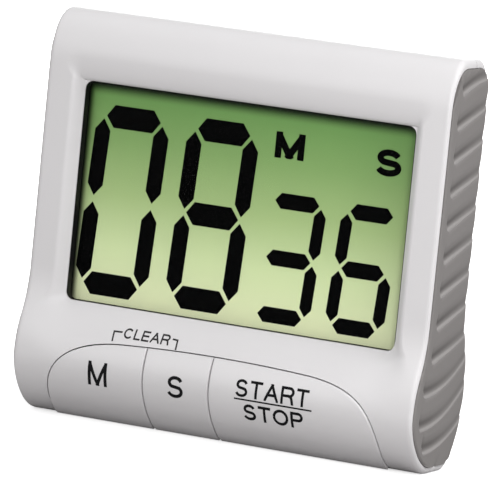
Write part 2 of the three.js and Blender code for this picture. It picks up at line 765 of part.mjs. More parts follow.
// A stroke of a digit: a bar with pointed ends between two corners of the digit. Its tips run
// alongside the tips of the strokes that cross it.
function stroke(from, to, width, crossWidth) {
  const along = to.clone().sub(from).normalize();
  const across = new THREE.Vector2(-along.y, along.x).multiplyScalar(width / 2);
  const setback = (strokeGap * Math.hypot(width, crossWidth)) / width;
  const tip = along.clone().multiplyScalar(setback);
  const shoulder = along.clone().multiplyScalar(setback + crossWidth / 2);
  const start = from.clone().add(tip);
  const end = to.clone().sub(tip);
  const startBend = from.clone().add(shoulder);
  const endBend = to.clone().sub(shoulder);
  return new THREE.Shape([
    start,
    startBend.clone().sub(across),
    endBend.clone().sub(across),
    end,
    endBend.clone().add(across),
    startBend.clone().add(across),
  ]);
}

// Corners of a digit run from the lower left, row by row. A stroke joins two of them.
const strokesOfDigit = {
  0: [[0, 1], [0, 2], [1, 3], [2, 4], [3, 5], [4, 5]],
  3: [[0, 1], [1, 3], [2, 3], [3, 5], [4, 5]],
  6: [[0, 1], [0, 2], [1, 3], [2, 3], [2, 4], [4, 5]],
  8: [[0, 1], [0, 2], [1, 3], [2, 3], [2, 4], [3, 5], [4, 5]],
};

function digitStrokes({ value, size, left, width }) {
  const corners = [];
  const base = windowBottom + digitMargin + size.bar / 2;
  for (let row = 0; row < 3; row++) {
    const rise = (size.height * windowHeight * row) / 2;
    for (const share of [left, left + width]) {
      const x = (share - 0.5) * windowWidth;
      corners.push(new THREE.Vector2(x + rise * size.lean, base + rise));
    }
  }
  return strokesOfDigit[value].map(([a, b]) => {
    const widths = b - a === 1 ? [size.bar, size.post] : [size.post, size.bar];
    return stroke(corners[a], corners[b], ...widths);
  });
}

// The bright sheet of the display. The strokes of the digits are openings in it.
function displaySheet() {
  let sheet = displayPlate(sheetY, sheetThickness);
  for (const shape of digits.flatMap(digitStrokes)) {
    sheet = sheet.subtract(prismY(shape, sheetY - 1, sheetY + sheetThickness + 1));
  }
  return sheet;
}

function connectorStrip() {
  const half = windowWidth / 2 - 3;
  const low = windowBottom - holderMargin + holderWall + 2 * fitGap;
  return block(-half, half, sheetY + sheetThickness + fitGap, boardY - fitGap, low, low + stripThickness);
}

// Keys

// A key follows the chin, with a lip behind the case wall and a plunger over its pad.
function key(from, to) {
  const halfGap = fitGap / 2;
  const start = from === -Infinity ? from : from + halfGap;
  const end = to === Infinity ? to : to - halfGap;
  const front = block(-halfCase, halfCase, chinY - 3, keyEnd, -3, caseHeight);
  const face = chinForm(-keyProud).subtract(chinForm(keyWall)).intersect(keyOutline(0, start, end));
  const lipFront = caseWall + fitGap;
  const lipSkin = chinForm(lipFront).subtract(chinForm(lipFront + keyLipThickness));
  const neckSkin = chinForm(keyWall - 0.2).subtract(chinForm(lipFront + keyLipThickness));
  const lip = lipSkin.intersect(keyOutline(keyLip, start, end));
  const neck = neckSkin.intersect(keyOutline(0, start, end));
  const upper = block(-halfCase, halfCase, chinY - 3, keyEnd, chinHeight - 6, caseHeight);
  const plungerEnd = boardY - fitGap - padHeight - keyTravel - 0.1;
  const plungerStart = chinY + keyWall - 0.5;
  const plunger = barY(keyMiddle(from, to), chinHeight, plungerRadius, plungerStart, plungerEnd);
  return face.add(lip.intersect(upper)).add(neck).intersect(front).add(plunger);
}

const keyMiddle = (from, to) => (Math.max(from, -keyHalfWidth) + Math.min(to, keyHalfWidth)) / 2;

// A rubber dome on the board, under a plunger.
function contactPad(from, to) {
  const base = boardY - fitGap;
  const profile = [
    [0, 0], [padRadius, 0], [padRadius, 0.6], [padRadius - 0.8, 0.8], [plungerRadius, padHeight], [0, padHeight],
  ].map(([r, h]) => new THREE.Vector2(r, h));
  const pad = new THREE.LatheGeometry(profile, 16);
  pad.rotateX(Math.PI);
  pad.translate(keyMiddle(from, to), base, chinHeight);
  return solid(pad);
}

// Board and electronics

function circuitBoard() {
  const shape = roundedRectangle(-boardHalfWidth, boardHalfWidth, boardBottom, boardTop, 1);
  let board = prismY(shape, boardY, boardBackY, 3);
  for (const side of [-1, 1]) {
    const holeRadius = boardScrewRadius + 0.4;
    board = board.subtract(
      barY(side * boardScrewX, boardScrewZ, holeRadius, boardY - 1, boardBackY + 1, 12),
    );
  }
  return board;
}

function chipCap() {
  const steps = 5;
  const profile = [new THREE.Vector2(0, 0)];
  for (let k = 0; k <= steps; k++) {
    const angle = (k / steps) * (Math.PI / 2);
    profile.push(new THREE.Vector2(chip.radius * Math.cos(angle), chip.height * Math.sin(angle)));
  }
  profile.at(-1).x = 0;
  const cap = new THREE.LatheGeometry(profile, 20);
  cap.translate(chip.x, boardBackY + fitGap, chip.z);
  return solid(cap);
}

function crystal() {
  const can = new THREE.CylinderGeometry(crystalCan.radius, crystalCan.radius, crystalCan.length, 12);
  can.rotateX(Math.PI / 2);
  can.translate(crystalCan.x, boardBackY + fitGap + crystalCan.radius, crystalCan.z);
  return solid(can);
}

function screw(headRadius, headThickness, radius, length) {
  const profile = [
    [0, headThickness], [headRadius * 0.6, headThickness], [headRadius, headThickness * 0.5],
    [headRadius, 0], [radius, 0], [radius, -length + screwPoint], [0.2, -length], [0, -length],
  ].map(([r, h]) => new THREE.Vector2(r, h));
  return new THREE.LatheGeometry(profile.reverse(), 14);
}

function buzzerDisc() {
  return barY(buzzerX, buzzerZ, buzzerRadius, buzzerY(), buzzerY() + buzzerThickness, 20);
}

function buzzerLead(offset) {
  const top = new THREE.Vector3(buzzerX - 3 + offset, buzzerY() - fitGap, buzzerZ - 2);
  const foot = new THREE.Vector3(buzzerX - 4.3 + offset, boardBackY + fitGap, buzzerZ - leadDrop);
  const middle = top.clone().add(foot).multiplyScalar(0.5);
  middle.z -= leadDrop / 5;
  const circle = new THREE.Shape();
  circle.absarc(0, 0, leadRadius, 0, Math.PI * 2);
  const lead = new THREE.ExtrudeGeometry(circle, {
    steps: 8,
    curveSegments: 4,
    bevelEnabled: false,
    extrudePath: new THREE.CatmullRomCurve3([foot, middle, top]),
  });
  return solid(lead);
}

// Battery, its contacts and cover

const cellStart = -bayHalfLength + fitGap + contactThickness + fitGap; // tip of the positive nub

function battery() {
  const r = cellDiameter / 2;
  const profile = [
    [0, 0], [1.9, 0], [1.9, cellNub], [r - 0.6, cellNub], [r, cellNub + 0.6], [r, cellLength - 0.5],
    [r - 0.5, cellLength], [0, cellLength],
  ].map(([radius, along]) => new THREE.Vector2(radius, along));
  const cell = new THREE.LatheGeometry(profile, 24);
  cell.rotateZ(-Math.PI / 2);
  cell.translate(cellStart, cellY, cellHeight);
  return solid(cell);
}

// A contact plate at one end of the bay, with a tab through the floor to the board.
function contactPlate(side) {
  const outer = side * (bayHalfLength - fitGap);
  const inner = outer - side * contactThickness;
  const [x0, x1] = [outer, inner].sort((a, b) => a - b);
  const low = bayFloorY + fitGap;
  const high = cellY + contactHalf;
  const plate = block(x0, x1, low, high, cellHeight - contactHalf, cellHeight + contactHalf);
  const tab = block(x0, x1, boardBackY + fitGap, low + 1, cellHeight - tabHalf, cellHeight + tabHalf);
  return plate.add(tab);
}

class Coil extends THREE.Curve {
  getPoint(t) {
    const turns = 4.5;
    const radius = THREE.MathUtils.lerp(springRadius, springTipRadius, t);
    const angle = t * turns * Math.PI * 2;
    const length = springLength - wireRadius;
    return new THREE.Vector3(-t * length, radius * Math.cos(angle), radius * Math.sin(angle));
  }
}

function batterySpring() {
  const circle = new THREE.Shape();
  circle.absarc(0, 0, wireRadius, 0, Math.PI * 2);
  const wire = new THREE.ExtrudeGeometry(circle, {
    steps: 48,
    curveSegments: 3,
    bevelEnabled: false,
    extrudePath: new Coil(),
  });
  const plateInner = bayHalfLength - fitGap - contactThickness;
  wire.translate(plateInner - 0.05, cellY, cellHeight);
  return contactPlate(1).add(solid(wire));
}

function batteryCover() {
  const lap = coverLap - fitGap;
  let cover = coverPrism(lap).subtract(innerForm(coverThickness)).intersect(outerForm);
  const ribBack = cellY + 3;
  const ribHalf = bayHalfLength - fitGap;
  const ribHigh = cellHeight + bayHalfHeight - fitGap;
  const rib = block(-ribHalf, ribHalf, ribBack, heelY, ribHigh - 0.8, ribHigh)
    .intersect(innerForm(coverThickness - 0.2));
  cover = cover.add(rib);
  const { halfWidth, halfHeight, depth, pitch } = thumbSlot;
  for (let i = -2; i <= 2; i++) {
    const ends = [i * pitch - halfWidth, i * pitch + halfWidth];
    const heights = [cellHeight - halfHeight, cellHeight + halfHeight];
    cover = cover.subtract(block(...ends, heelY - depth, heelY + 1, ...heights));
  }
  return cover;
}

// Stand

function stand() {
  const shape = new THREE.Shape();
  const foot = standWidth / 2;
  const head = (standWidth - standTaper) / 2;
  const top = standHinge + standLength;
  shape.moveTo(-foot, standHinge);
  shape.lineTo(foot, standHinge);
  shape.lineTo(head + 0.6, top - 4);
  shape.quadraticCurveTo(head, top, head - 4, top);
  shape.lineTo(-head + 4, top);
  shape.quadraticCurveTo(-head, top, -head - 0.6, top - 4);
  const innerY = standY - standThickness / 2;
  const outerY = standY + standThickness / 2;
  let plate = prismY(shape, innerY, outerY);
  for (const side of [-1, 1]) {
    const pocket = roundedRectangle(
      Math.min(side * 1, side * (head - 2)), Math.max(side * 1, side * (head - 2)),
      standHinge + 3, top - 3, 1,
    );
    plate = plate.subtract(prismY(pocket, innerY - 1, standY));
  }
  const pinEnd = foot + standPinLength;
  return plate.add(pinX(standThickness / 2, -pinEnd, pinEnd));
}

// Materials and assembly

const white = { color: 0xdcdadd, roughness: 0.42, metalness: 0 };
const softGrey = { color: 0x817d7b, roughness: 0.75, metalness: 0 };
const blackPlastic = { color: 0x101110, roughness: 0.5, metalness: 0 };
const clearPlastic = { color: 0xe8f2ea, roughness: 0.05, metalness: 0, transparent: true, opacity: 0.25 };
const displayGreen = { color: 0xa9c886, roughness: 0.6, metalness: 0 };
const displayDark = { color: 0x0a0c0a, roughness: 0.6, metalness: 0 };
const boardGreen = { color: 0x1f6b3a, roughness: 0.5, metalness: 0 };
const resin = { color: 0x161616, roughness: 0.35, metalness: 0 };
const steel = { color: 0xb4b6b8, roughness: 0.3, metalness: 1 };
const brass = { color: 0xb8964f, roughness: 0.35, metalness: 1 };
const siliconeGrey = { color: 0x9a9c9e, roughness: 0.7, metalness: 0 };
const cellCoat = { color: 0x3b5f8c, roughness: 0.4, metalness: 0.2 };

const timer = new THREE.Group();

function place(name, form, finish) {
  const geometry = form.isBufferGeometry ? form : geometryOf(form);
  const mesh = new THREE.Mesh(geometry, new THREE.MeshStandardMaterial(finish));
  mesh.name = name;
  timer.add(mesh);
  return mesh;
}

place("front_shell", frontShell(), white);
place("rear_shell", rearShell(), white);
const gripGeometry = geometryOf(grip());
place("grip_right", gripGeometry, softGrey);
place("grip_left", gripGeometry, softGrey).scale.x = -1;

place("display_holder", displayHolder(), blackPlastic);
place("display_window", displayPlate(paneY, paneThickness), clearPlastic);
place("display_sheet", displaySheet(), displayGreen);
place("display_backing", displayPlate(backingY, backingThickness, ledgeHeight), displayDark);
place("connector_strip", connectorStrip(), siliconeGrey);

const keyStretches = {
  minutes: [-Infinity, keyDividers[0]],
  seconds: [keyDividers[0], keyDividers[1]],
  start_stop: [keyDividers[1], Infinity],
};
for (const [name, [from, to]] of Object.entries(keyStretches)) {
  place("key_" + name, key(from, to), white);
  place("contact_pad_" + name, contactPad(from, to), siliconeGrey);
}

place("circuit_board", circuitBoard(), boardGreen);
place("chip_cap", chipCap(), resin);
place("crystal", crystal(), steel);
place("buzzer_disc", buzzerDisc(), brass);
place("buzzer_lead_red", buzzerLead(0), { color: 0xb02a22, roughness: 0.5, metalness: 0 });
place("buzzer_lead_black", buzzerLead(leadPitch), blackPlastic);

place("battery", battery(), cellCoat);
place("battery_contact", contactPlate(-1), steel);
place("battery_spring", batterySpring(), steel);
place("battery_cover", batteryCover(), white);
place("stand", stand(), white);

bossPlaces().forEach(([x, z], i) => {
  const caseScrew = screw(screwHeadRadius, screwHeadHeight, screwRadius, screwLength);
  place("case_screw_" + (i + 1), caseScrew, steel).position.set(x, screwSeat + fitGap, z);
});
[-1, 1].forEach((side, i) => {
  const boardScrew = screw(
    boardScrewHeadRadius, boardScrewHeadHeight, boardScrewRadius, boardScrewLength,
  );
  const mesh = place("board_screw_" + (i + 1), boardScrew, steel);
  mesh.position.set(side * boardScrewX, boardBackY + fitGap, boardScrewZ);
});

export default timer;
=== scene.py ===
import math

import bmesh
import bpy
from mathutils import Matrix, Vector


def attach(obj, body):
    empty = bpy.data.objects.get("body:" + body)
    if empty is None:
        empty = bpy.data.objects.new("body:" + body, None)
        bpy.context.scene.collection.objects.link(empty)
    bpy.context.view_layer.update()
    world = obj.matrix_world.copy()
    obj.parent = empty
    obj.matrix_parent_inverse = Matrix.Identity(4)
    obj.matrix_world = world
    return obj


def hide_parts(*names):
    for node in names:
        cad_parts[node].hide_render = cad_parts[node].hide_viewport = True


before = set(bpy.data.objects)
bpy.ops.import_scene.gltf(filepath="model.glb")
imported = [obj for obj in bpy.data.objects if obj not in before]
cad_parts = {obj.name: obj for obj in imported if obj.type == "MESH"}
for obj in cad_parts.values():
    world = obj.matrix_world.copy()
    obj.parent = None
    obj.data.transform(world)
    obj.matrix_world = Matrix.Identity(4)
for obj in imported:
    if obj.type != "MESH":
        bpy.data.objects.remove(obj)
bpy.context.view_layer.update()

bpy.ops.object.select_all(action="DESELECT")

# Camera: the timer is seen from its right and a little from above, with the picture turned by a
# little under six degrees. The lens is long, so the case narrows only slightly to the back.
camera_turn = math.radians(25)
camera_tilt = math.radians(6.71268)
camera_roll = math.radians(5.67)
sideways = Vector((math.cos(camera_turn), math.sin(camera_turn), 0))
behind = Vector((
    math.sin(camera_turn) * math.cos(camera_tilt),
    -math.cos(camera_turn) * math.cos(camera_tilt),
    math.sin(camera_tilt),
))
upwards = behind.cross(sideways)
camera_right = math.cos(camera_roll) * sideways + math.sin(camera_roll) * upwards
camera_up = behind.cross(camera_right)
bpy.ops.object.camera_add(location=(0.380159, -0.816585, 0.142196))
camera = bpy.context.object
camera.name = "camera"
camera.matrix_world = (
    Matrix.Translation(camera.location)
    @ Matrix((camera_right, camera_up, behind)).transposed().to_4x4()
)
camera.data.sensor_width = 36
camera.data.lens = 366.68
camera.data.clip_start = 0.05
bpy.context.scene.camera = camera

# Studio: a plain white floor, a white surrounding and seven soft lamps, which the camera doesn't see.
# The floor is white to the camera, more so away from the timer, and grey to the light that it throws
# back, so that the underside stays in shade.


def new_finish(name):
    """A new material and its node tree."""
    finish = bpy.data.materials.new(name)
    finish.use_nodes = True
    return finish, finish.node_tree


def add_node(tree, kind, values=None, **settings):
    """A new node of a tree, with its settings and the values of its sockets."""
    node = tree.nodes.new("ShaderNode" + kind)
    for setting, value in settings.items():
        setattr(node, setting, value)
    for socket, value in (values or {}).items():
        node.inputs[socket].default_value = value
    return node


def wire(tree, *wires):
    """Joins nodes. Each wire is given as a node, its output, the next node and the input there."""
    for source, output, target, socket in wires:
        tree.links.new(source.outputs[output], target.inputs[socket])


bpy.ops.mesh.primitive_plane_add(size=8)
floor = bpy.context.object
floor.name = "floor"
floor_paint, tree = new_finish("floor_paint")
tree.nodes.clear()
output = add_node(tree, "OutputMaterial")
seen = add_node(tree, "LightPath")
place = add_node(tree, "TexCoord")
away = add_node(tree, "VectorMath", operation="LENGTH")
near_and_far = {"From Min": 0.06, "From Max": 0.4, "To Min": 0.6, "To Max": 1.0}
whiter = add_node(tree, "MapRange", near_and_far, interpolation_type="SMOOTHSTEP")
matt = add_node(tree, "BsdfDiffuse", {"Color": (0.8, 0.8, 0.8, 1)})
glow = add_node(tree, "Emission", {"Color": (1, 1, 1, 1)})
both = add_node(tree, "AddShader")
bounce = add_node(tree, "BsdfDiffuse", {"Color": (0.4, 0.39, 0.39, 1)})
choice = add_node(tree, "MixShader")
wire(
    tree,
    (place, "Object", away, 0),
    (away, "Value", whiter, "Value"),
    (whiter, "Result", glow, "Strength"),
    (matt, 0, both, 0),
    (glow, 0, both, 1),
    (seen, "Is Camera Ray", choice, 0),
    (bounce, 0, choice, 1),
    (both, 0, choice, 2),
    (choice, 0, output, "Surface"),
)
floor.data.materials.append(floor_paint)

world = bpy.data.worlds.new("studio")
bpy.context.scene.world = world
world.use_nodes = True
tree = world.node_tree
tree.nodes.clear()
output = add_node(tree, "OutputWorld")
surround = add_node(tree, "Background", {"Color": (1, 1, 1, 1), "Strength": 0.35})
white = add_node(tree, "Background", {"Color": (1, 1, 1, 1)})
choice = add_node(tree, "MixShader")
seen = add_node(tree, "LightPath")
wire(
    tree,
    (seen, "Is Camera Ray", choice, 0),
    (surround, 0, choice, 1),
    (white, 0, choice, 2),
    (choice, 0, output, "Surface"),
)
timer_middle = Vector((0, 0, 0.037))


def soft_lamp(name, place, size, power):
    """A round lamp, aimed at the middle of the timer."""
    bpy.ops.object.light_add(type="AREA", location=place)
    lamp = bpy.context.object
    lamp.name = name
    lamp.data.shape = "DISK"
    lamp.data.size = size
    lamp.data.energy = power
    lamp.visible_camera = False
    aim = timer_middle - lamp.location
    lamp.rotation_euler = aim.to_track_quat("-Z", "Y").to_euler()


soft_lamp("front_left_lamp", (-0.35, -0.9, 0.35), 0.6, 2.35)
soft_lamp("near_lamp", (0.15, -0.2, 0.12), 0.1, 0.22)
soft_lamp("left_lamp", (-0.6, -0.2, 0.6), 0.4, 0.85)
soft_lamp("right_lamp", (0.6, 0.0, 0.75), 0.5, 4.75)
soft_lamp("side_lamp", (0.5, -0.1, 0.12), 0.3, 0.28)
soft_lamp("top_lamp", (0.2, 0.5, 0.8), 0.5, 0.75)
soft_lamp("back_lamp", (-0.3, 0.95, 0.25), 0.6, 4.0)
bpy.ops.object.select_all(action="DESELECT")
bpy.context.scene.view_settings.view_transform = "Standard"

# Front case half: one injection moulding of satin off-white plastic, with the screen frame, the ramp
# below it and the chin that the keys look out of. Four screws from behind hold it to the rear half.
# Sizes are in millimetres, and the finished pieces are brought to metres.
chin_front = -11.9
chin_height = 10.6
chin_top = 27.3
face_front = -8.5
window_plane = -6.5
window_half = 32.8
window_low = 21.3
window_high = 61.3
case_half = 39.7
case_top = 73.9
parting = 1.0
roll_middle = (-2.5, 64.7)
roll_radii = (6.0, 9.2)
curl_high = 66.3
foot_front = -2.0
foot_back = 4.0
back_face = 9.05
back_radius = 6.5
heel_back = 12.15
heel_height = 12.8
heel_top = 30.8
wall = 1.9
hollow_half = 37.0
grip_floor = 38.7
boss_radius = 2.4
bore_radius = 1.4


def moulded_finish(name, colour, roughness, grain=2600, depth=0.00002, drift=0.025, sheen=0.5):
    """Moulded plastic or rubber: fine grain, and a colour and gloss that drift a little."""
    finish, tree = new_finish(name)
    shader = tree.nodes["Principled BSDF"]
    shader.inputs["Specular IOR Level"].default_value = sheen
    place = add_node(tree, "TexCoord")
    cloud = add_node(tree, "TexNoise", {"Scale": 55, "Detail": 3})
    darker = (*(c * (1 - drift) for c in colour), 1)
    paler = (*(min(1, c * (1 + drift)) for c in colour), 1)
    tint = add_node(tree, "Mix", {"A": darker, "B": paler}, data_type="RGBA")
    gloss = add_node(tree, "MapRange", {"To Min": roughness - 0.05, "To Max": roughness + 0.05})
    texture = add_node(tree, "TexNoise", {"Scale": grain, "Detail": 2})
    bump = add_node(tree, "Bump", {"Strength": 0.35, "Distance": depth})
    wire(
        tree,
        (place, "Object", cloud, "Vector"),
        (place, "Object", texture, "Vector"),
        (cloud, "Fac", tint, "Factor"),
        (cloud, "Fac", gloss, "Value"),
        (texture, "Fac", bump, "Height"),
        (tint, "Result", shader, "Base Color"),
        (gloss, "Result", shader, "Roughness"),
        (bump, "Normal", shader, "Normal"),
    )
    return finish


def blend(a, b, share):
    return a + (b - a) * share


def smooth(share):
    share = min(1, max(0, share))
    return share * share * (3 - 2 * share)


def rounding(radius, reach):
    """How far a rounded edge has fallen away at a reach into its round."""
    return radius - math.sqrt(max(0, radius * radius - reach * reach))


def bezier(points, steps):
    """Points of a cubic curve after its first one."""
    a, b, c, d = (Vector(p) for p in points)
    for k in range(1, steps + 1):
        t = k / steps
        yield tuple((1 - t) ** 3 * a + 3 * (1 - t) ** 2 * t * b + 3 * (1 - t) * t * t * c + t ** 3 * d)


def face_at_side(height):
    """Depth of the face beside the window: straight, rolled over above and swollen below."""
    if height > roll_middle[1]:
        rise = (height - roll_middle[1]) / roll_radii[1]
        return roll_middle[0] - roll_radii[0] * math.sqrt(max(0, 1 - rise * rise))
    if height > chin_top:
        return face_front
    low, high = 0, 1
    swell = (chin_top + chin_height) / 2
    for _ in range(40):
        t = (low + high) / 2
        z = chin_top * (1 - t) ** 3 + 3 * swell * (1 - t) * t + chin_height * t ** 3
        low, high = (t, high) if z > height else (low, t)
    return blend(face_front, chin_front, 3 * t * t - 2 * t ** 3)


def face_in_middle(height):
    """Depth of the face across the window: curled in above it, and a ramp below it."""
    if height >= curl_high:
        return face_at_side(height)
    if height > window_high:
        reach = window_plane - face_at_side(curl_high)
        drop = (curl_high - height) / (curl_high - window_high)
        return window_plane - reach * math.sqrt(max(0, 1 - drop * drop))
    if height >= window_low:
        return window_plane
    a, b = 11 - window_low + chin_height, -11
    t = (-b - math.sqrt(max(0, b * b - 4 * a * (window_low - height)))) / (2 * a)
    return blend(window_plane, chin_front, 2 * t - t * t)


def outward(points, index, closed=False):
    """Normal of a side view that is walked from the foot forward, up and over the top."""
    last = len(points) - 1
    before = points[index - 1] if closed or index else points[0]
    after = points[(index + 1) % (last + 1)] if closed or index < last else points[last]
    along = (Vector(after) - Vector(before)).normalized()
    return Vector((-along.y, along.x))


def moved(points, amount):
    """A closed side view moved outwards, or inwards by a negative amount."""
    return [tuple(Vector(p) + amount * outward(points, i, True)) for i, p in enumerate(points)]


under_chin = list(bezier(
    ((foot_front, 0), (foot_front - 4.6, 0), (chin_front, chin_height * 0.58), (chin_front, chin_height)),
    14,
))
roll_turns = [math.radians(blend(10, 90, k / 12)) for k in range(13)]
roll_heights = [roll_middle[1] + roll_radii[1] * math.sin(turn) for turn in roll_turns]
heel_middle = (heel_height + heel_top) / 2
over_back = [(back_face - back_radius, case_top)]
over_back += [
    (back_face - back_radius * (1 - math.sin(turn)), case_top - back_radius * (1 - math.cos(turn)))
    for turn in (math.pi / 2 * k / 12 for k in range(1, 13))
]
over_back += [(back_face, blend(case_top - back_radius, heel_top, k / 4)) for k in range(1, 5)]
over_back += bezier(
    ((back_face, heel_top), (back_face, heel_middle), (heel_back, heel_middle), (heel_back, heel_height)),
    16,
)
over_back += bezier(
    ((heel_back, heel_height), (heel_back, heel_height * 0.33), (foot_back + 3.4, 0), (foot_back, 0)),
    14,
)


def skin(name, columns, rows, place):
    """A grid whose points are set by column and row."""
    bpy.ops.mesh.primitive_grid_add(x_subdivisions=columns - 1, y_subdivisions=rows - 1, size=1)
    piece = bpy.context.object
    piece.name = piece.data.name = name
    for vertex in piece.data.vertices:
        column = round((vertex.co.x + 0.5) * (columns - 1))
        row = round((vertex.co.y + 0.5) * (rows - 1))
        vertex.co = place(column, row)
    return piece


def face_outwards():
    """Turns all faces of the piece in edit mode outwards."""
    bpy.ops.mesh.select_all(action="SELECT")
    bpy.ops.mesh.normals_make_consistent(inside=False)


def edit_open_edges(piece, around):
    """Goes into edit mode, with the open edges selected whose ends both pass a test."""
    bpy.ops.object.mode_set(mode="EDIT")
    bpy.ops.mesh.select_mode(type="EDGE")
    bpy.ops.mesh.select_all(action="DESELECT")
    shape = bmesh.from_edit_mesh(piece.data)
    for edge in shape.edges:
        edge.select = edge.is_boundary and all(around(v.co) for v in edge.verts)


def fill_hole(piece, around):
    edit_open_edges(piece, around)
    bpy.ops.mesh.edge_face_add()
    face_outwards()
    bpy.ops.object.mode_set(mode="OBJECT")


def slab(name, outline, along, start, end):
    """A flat blank of an outline, drawn out along an axis. Outlines along x are given as (y, z)."""
    bpy.ops.mesh.primitive_circle_add(vertices=len(outline), fill_type="NGON")
    piece = bpy.context.object
    piece.name = piece.data.name = name
    for vertex, (across, height) in zip(piece.data.vertices, outline):
        vertex.co = (start, across, height) if along == "x" else (across, start, height)
    bpy.ops.object.mode_set(mode="EDIT")
    step = (end - start, 0, 0) if along == "x" else (0, end - start, 0)
    bpy.ops.mesh.extrude_region_move(TRANSFORM_OT_translate={"value": step})
    face_outwards()
    bpy.ops.object.mode_set(mode="OBJECT")
    return piece


def oblong(x0, x1, z0, z1):
    return [(x0, z0), (x1, z0), (x1, z1), (x0, z1)]


def rounded(x0, x1, z0, z1, radius, steps=6):
    corners = ((x1, z0, -90, -1, 1), (x1, z1, 0, -1, -1), (x0, z1, 90, 1, -1), (x0, z0, 180, 1, 1))
    return [
        (x + dx * radius + radius * math.cos(math.radians(turn + 90 * k / steps)),
         z + dz * radius + radius * math.sin(math.radians(turn + 90 * k / steps)))
        for x, z, turn, dx, dz in corners for k in range(steps + 1)
    ]


def rod(name, x, z, radius, y0, y1, sides=32):
    """A round bar from front to back."""
    bpy.ops.mesh.primitive_cylinder_add(
        vertices=sides, radius=radius, depth=y1 - y0, location=(x, (y0 + y1) / 2, z),
        rotation=(math.pi / 2, 0, 0),
    )
    piece = bpy.context.object
    piece.name = piece.data.name = name
    bpy.ops.object.transform_apply()
    return piece


def combine(piece, tool, operation):
    """Joins a tool to a piece, cuts it out, or keeps what both share, and removes the tool."""
    modifier = piece.modifiers.new("combine", "BOOLEAN")
    modifier.operation = operation
    modifier.solver = "EXACT"
    modifier.object = tool
    bpy.context.view_layer.objects.active = piece
    bpy.ops.object.modifier_apply(modifier="combine")
    bpy.data.objects.remove(tool)


def cut(piece, outline, along, start, end):
    combine(piece, slab("cutter", outline, along, start, end), "DIFFERENCE")


def drill(piece, x, z, radius, y0, y1, sides=32):
    combine(piece, rod("drill", x, z, radius, y0, y1, sides), "DIFFERENCE")


def select_only(*pieces):
    bpy.ops.object.select_all(action="DESELECT")
    for piece in pieces:
        piece.select_set(True)
    bpy.context.view_layer.objects.active = pieces[0]


def finish_piece(piece, material, body, replaced=(), smooth_to=32):
    """Shades a piece, brings it to metres and hands it to the frame."""
    select_only(piece)
    bpy.ops.object.shade_smooth_by_angle(angle=math.radians(smooth_to))
    even = piece.modifiers.new("even", "WEIGHTED_NORMAL")
    even.keep_sharp = True
    bpy.ops.object.modifier_apply(modifier="even")
    piece.scale = (0.001, 0.001, 0.001)
    bpy.ops.object.transform_apply()
    piece.data.materials.clear()
    piece.data.materials.append(material)
    piece.select_set(False)
    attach(piece, body)
    if replaced:
        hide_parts(*replaced)


def edge_place(point, normal, x):
    """A point of the side view drawn in where the side edges of the case are rounded."""
    def fall(radius):
        return rounding(radius, max(0, abs(x) - (case_half - radius)))
    back_and_forth = fall(0.8 if normal.x < 0 else 3.0)
    up_and_down = fall(1.2 if normal.y > 0 else 1.0)
    return (x, point[0] - normal.x * back_and_forth, point[1] - normal.y * up_and_down)


ramp_heights = [blend(chin_height, window_low, k / 14) for k in range(1, 15)]
ramp_heights += [blend(window_low, chin_top, k / 6) for k in range(1, 7)]
curl_heights = [curl_high - 5 * math.cos(math.pi / 2 * k / 9) for k in range(1, 10)]
face_heights = ramp_heights + [34, 42, 52, window_high] + curl_heights + roll_heights[1:]
foot_and_chin = [(foot_front, 0), *under_chin]
face_beside = [(face_at_side(z), z) for z in face_heights]
face_across = [(face_in_middle(z), z) for z in face_heights]
front_sides = [(parting, 0), *foot_and_chin, *face_beside, (parting, case_top)]
front_middles = [(parting, 0), *foot_and_chin, *face_across, (parting, case_top)]
middle_places = (0, 0.3, 0.6, 0.85, 0.96, 1)
facet_columns = 9
rounding_columns = [case_half - 1.2 * (1 - math.sin(math.radians(15 * k))) for k in range(7)]
half_columns = len(middle_places) + facet_columns + len(rounding_columns)
ramp_half = 38.3


def front_point(column, row):
    """Flat across the middle, then a dished slope out to the side, then the rounded side edge."""
    side, middle = front_sides[row], front_middles[row]
    normal = outward(front_sides, row)
    sign = -1 if column < half_columns - 1 else 1
    index = abs(column - (half_columns - 1))
    z = side[1]
    ramp = smooth((window_low + 2 - z) / 6)
    curl = smooth((z - window_high) / 3)
    depth = window_plane - middle[0] if window_low < z <= curl_high else 0 if z < 30 else 2
    valley = blend(window_half + 0.8 * depth - 1.2 * curl, window_half - 3.5, ramp)
    slope_run = 0.8 * depth + 1.07 * abs(middle[0] - side[0]) + 2 * curl
    slope_end = blend(window_half + slope_run, ramp_half, ramp)
    if index < len(middle_places):
        return (sign * valley * middle_places[index], *middle)
    index -= len(middle_places) - 1
    if index <= facet_columns:
        t = index / facet_columns
        eased = 1.333 * (t if t < 0.5 else t - (t - 0.5) ** 2)
        y = blend(middle[0], side[0], blend(eased, smooth(t), max(ramp, curl)))
        return (sign * blend(valley, slope_end, t), y, z)
    return edge_place(side, normal, sign * rounding_columns[index - facet_columns - 1])


def inner_outline():
    """The hollow of the case, seen from the side: flat behind the window."""
    inner = moved(foot_and_chin + face_across + over_back, -wall)
    low, high = window_low - 2, curl_high - 0.6
    before = [p for p in inner if p[0] < 0 and p[1] < low]
    after = [p for p in inner if p[0] > 0 or p[1] > high]
    return before + [(-5.7, low), (-5.7, high)] + after


def close_and_hollow(piece, joint):
    """Fills the two sides of a case half and its face at the joint, and takes out the hollow."""
    fill_hole(piece, lambda p: p.x > case_half - 0.01)
    fill_hole(piece, lambda p: p.x < 0.01 - case_half)
    fill_hole(piece, lambda p: abs(p.y - joint) < 0.001)
    cut(piece, inner_outline(), "x", -hollow_half, hollow_half)


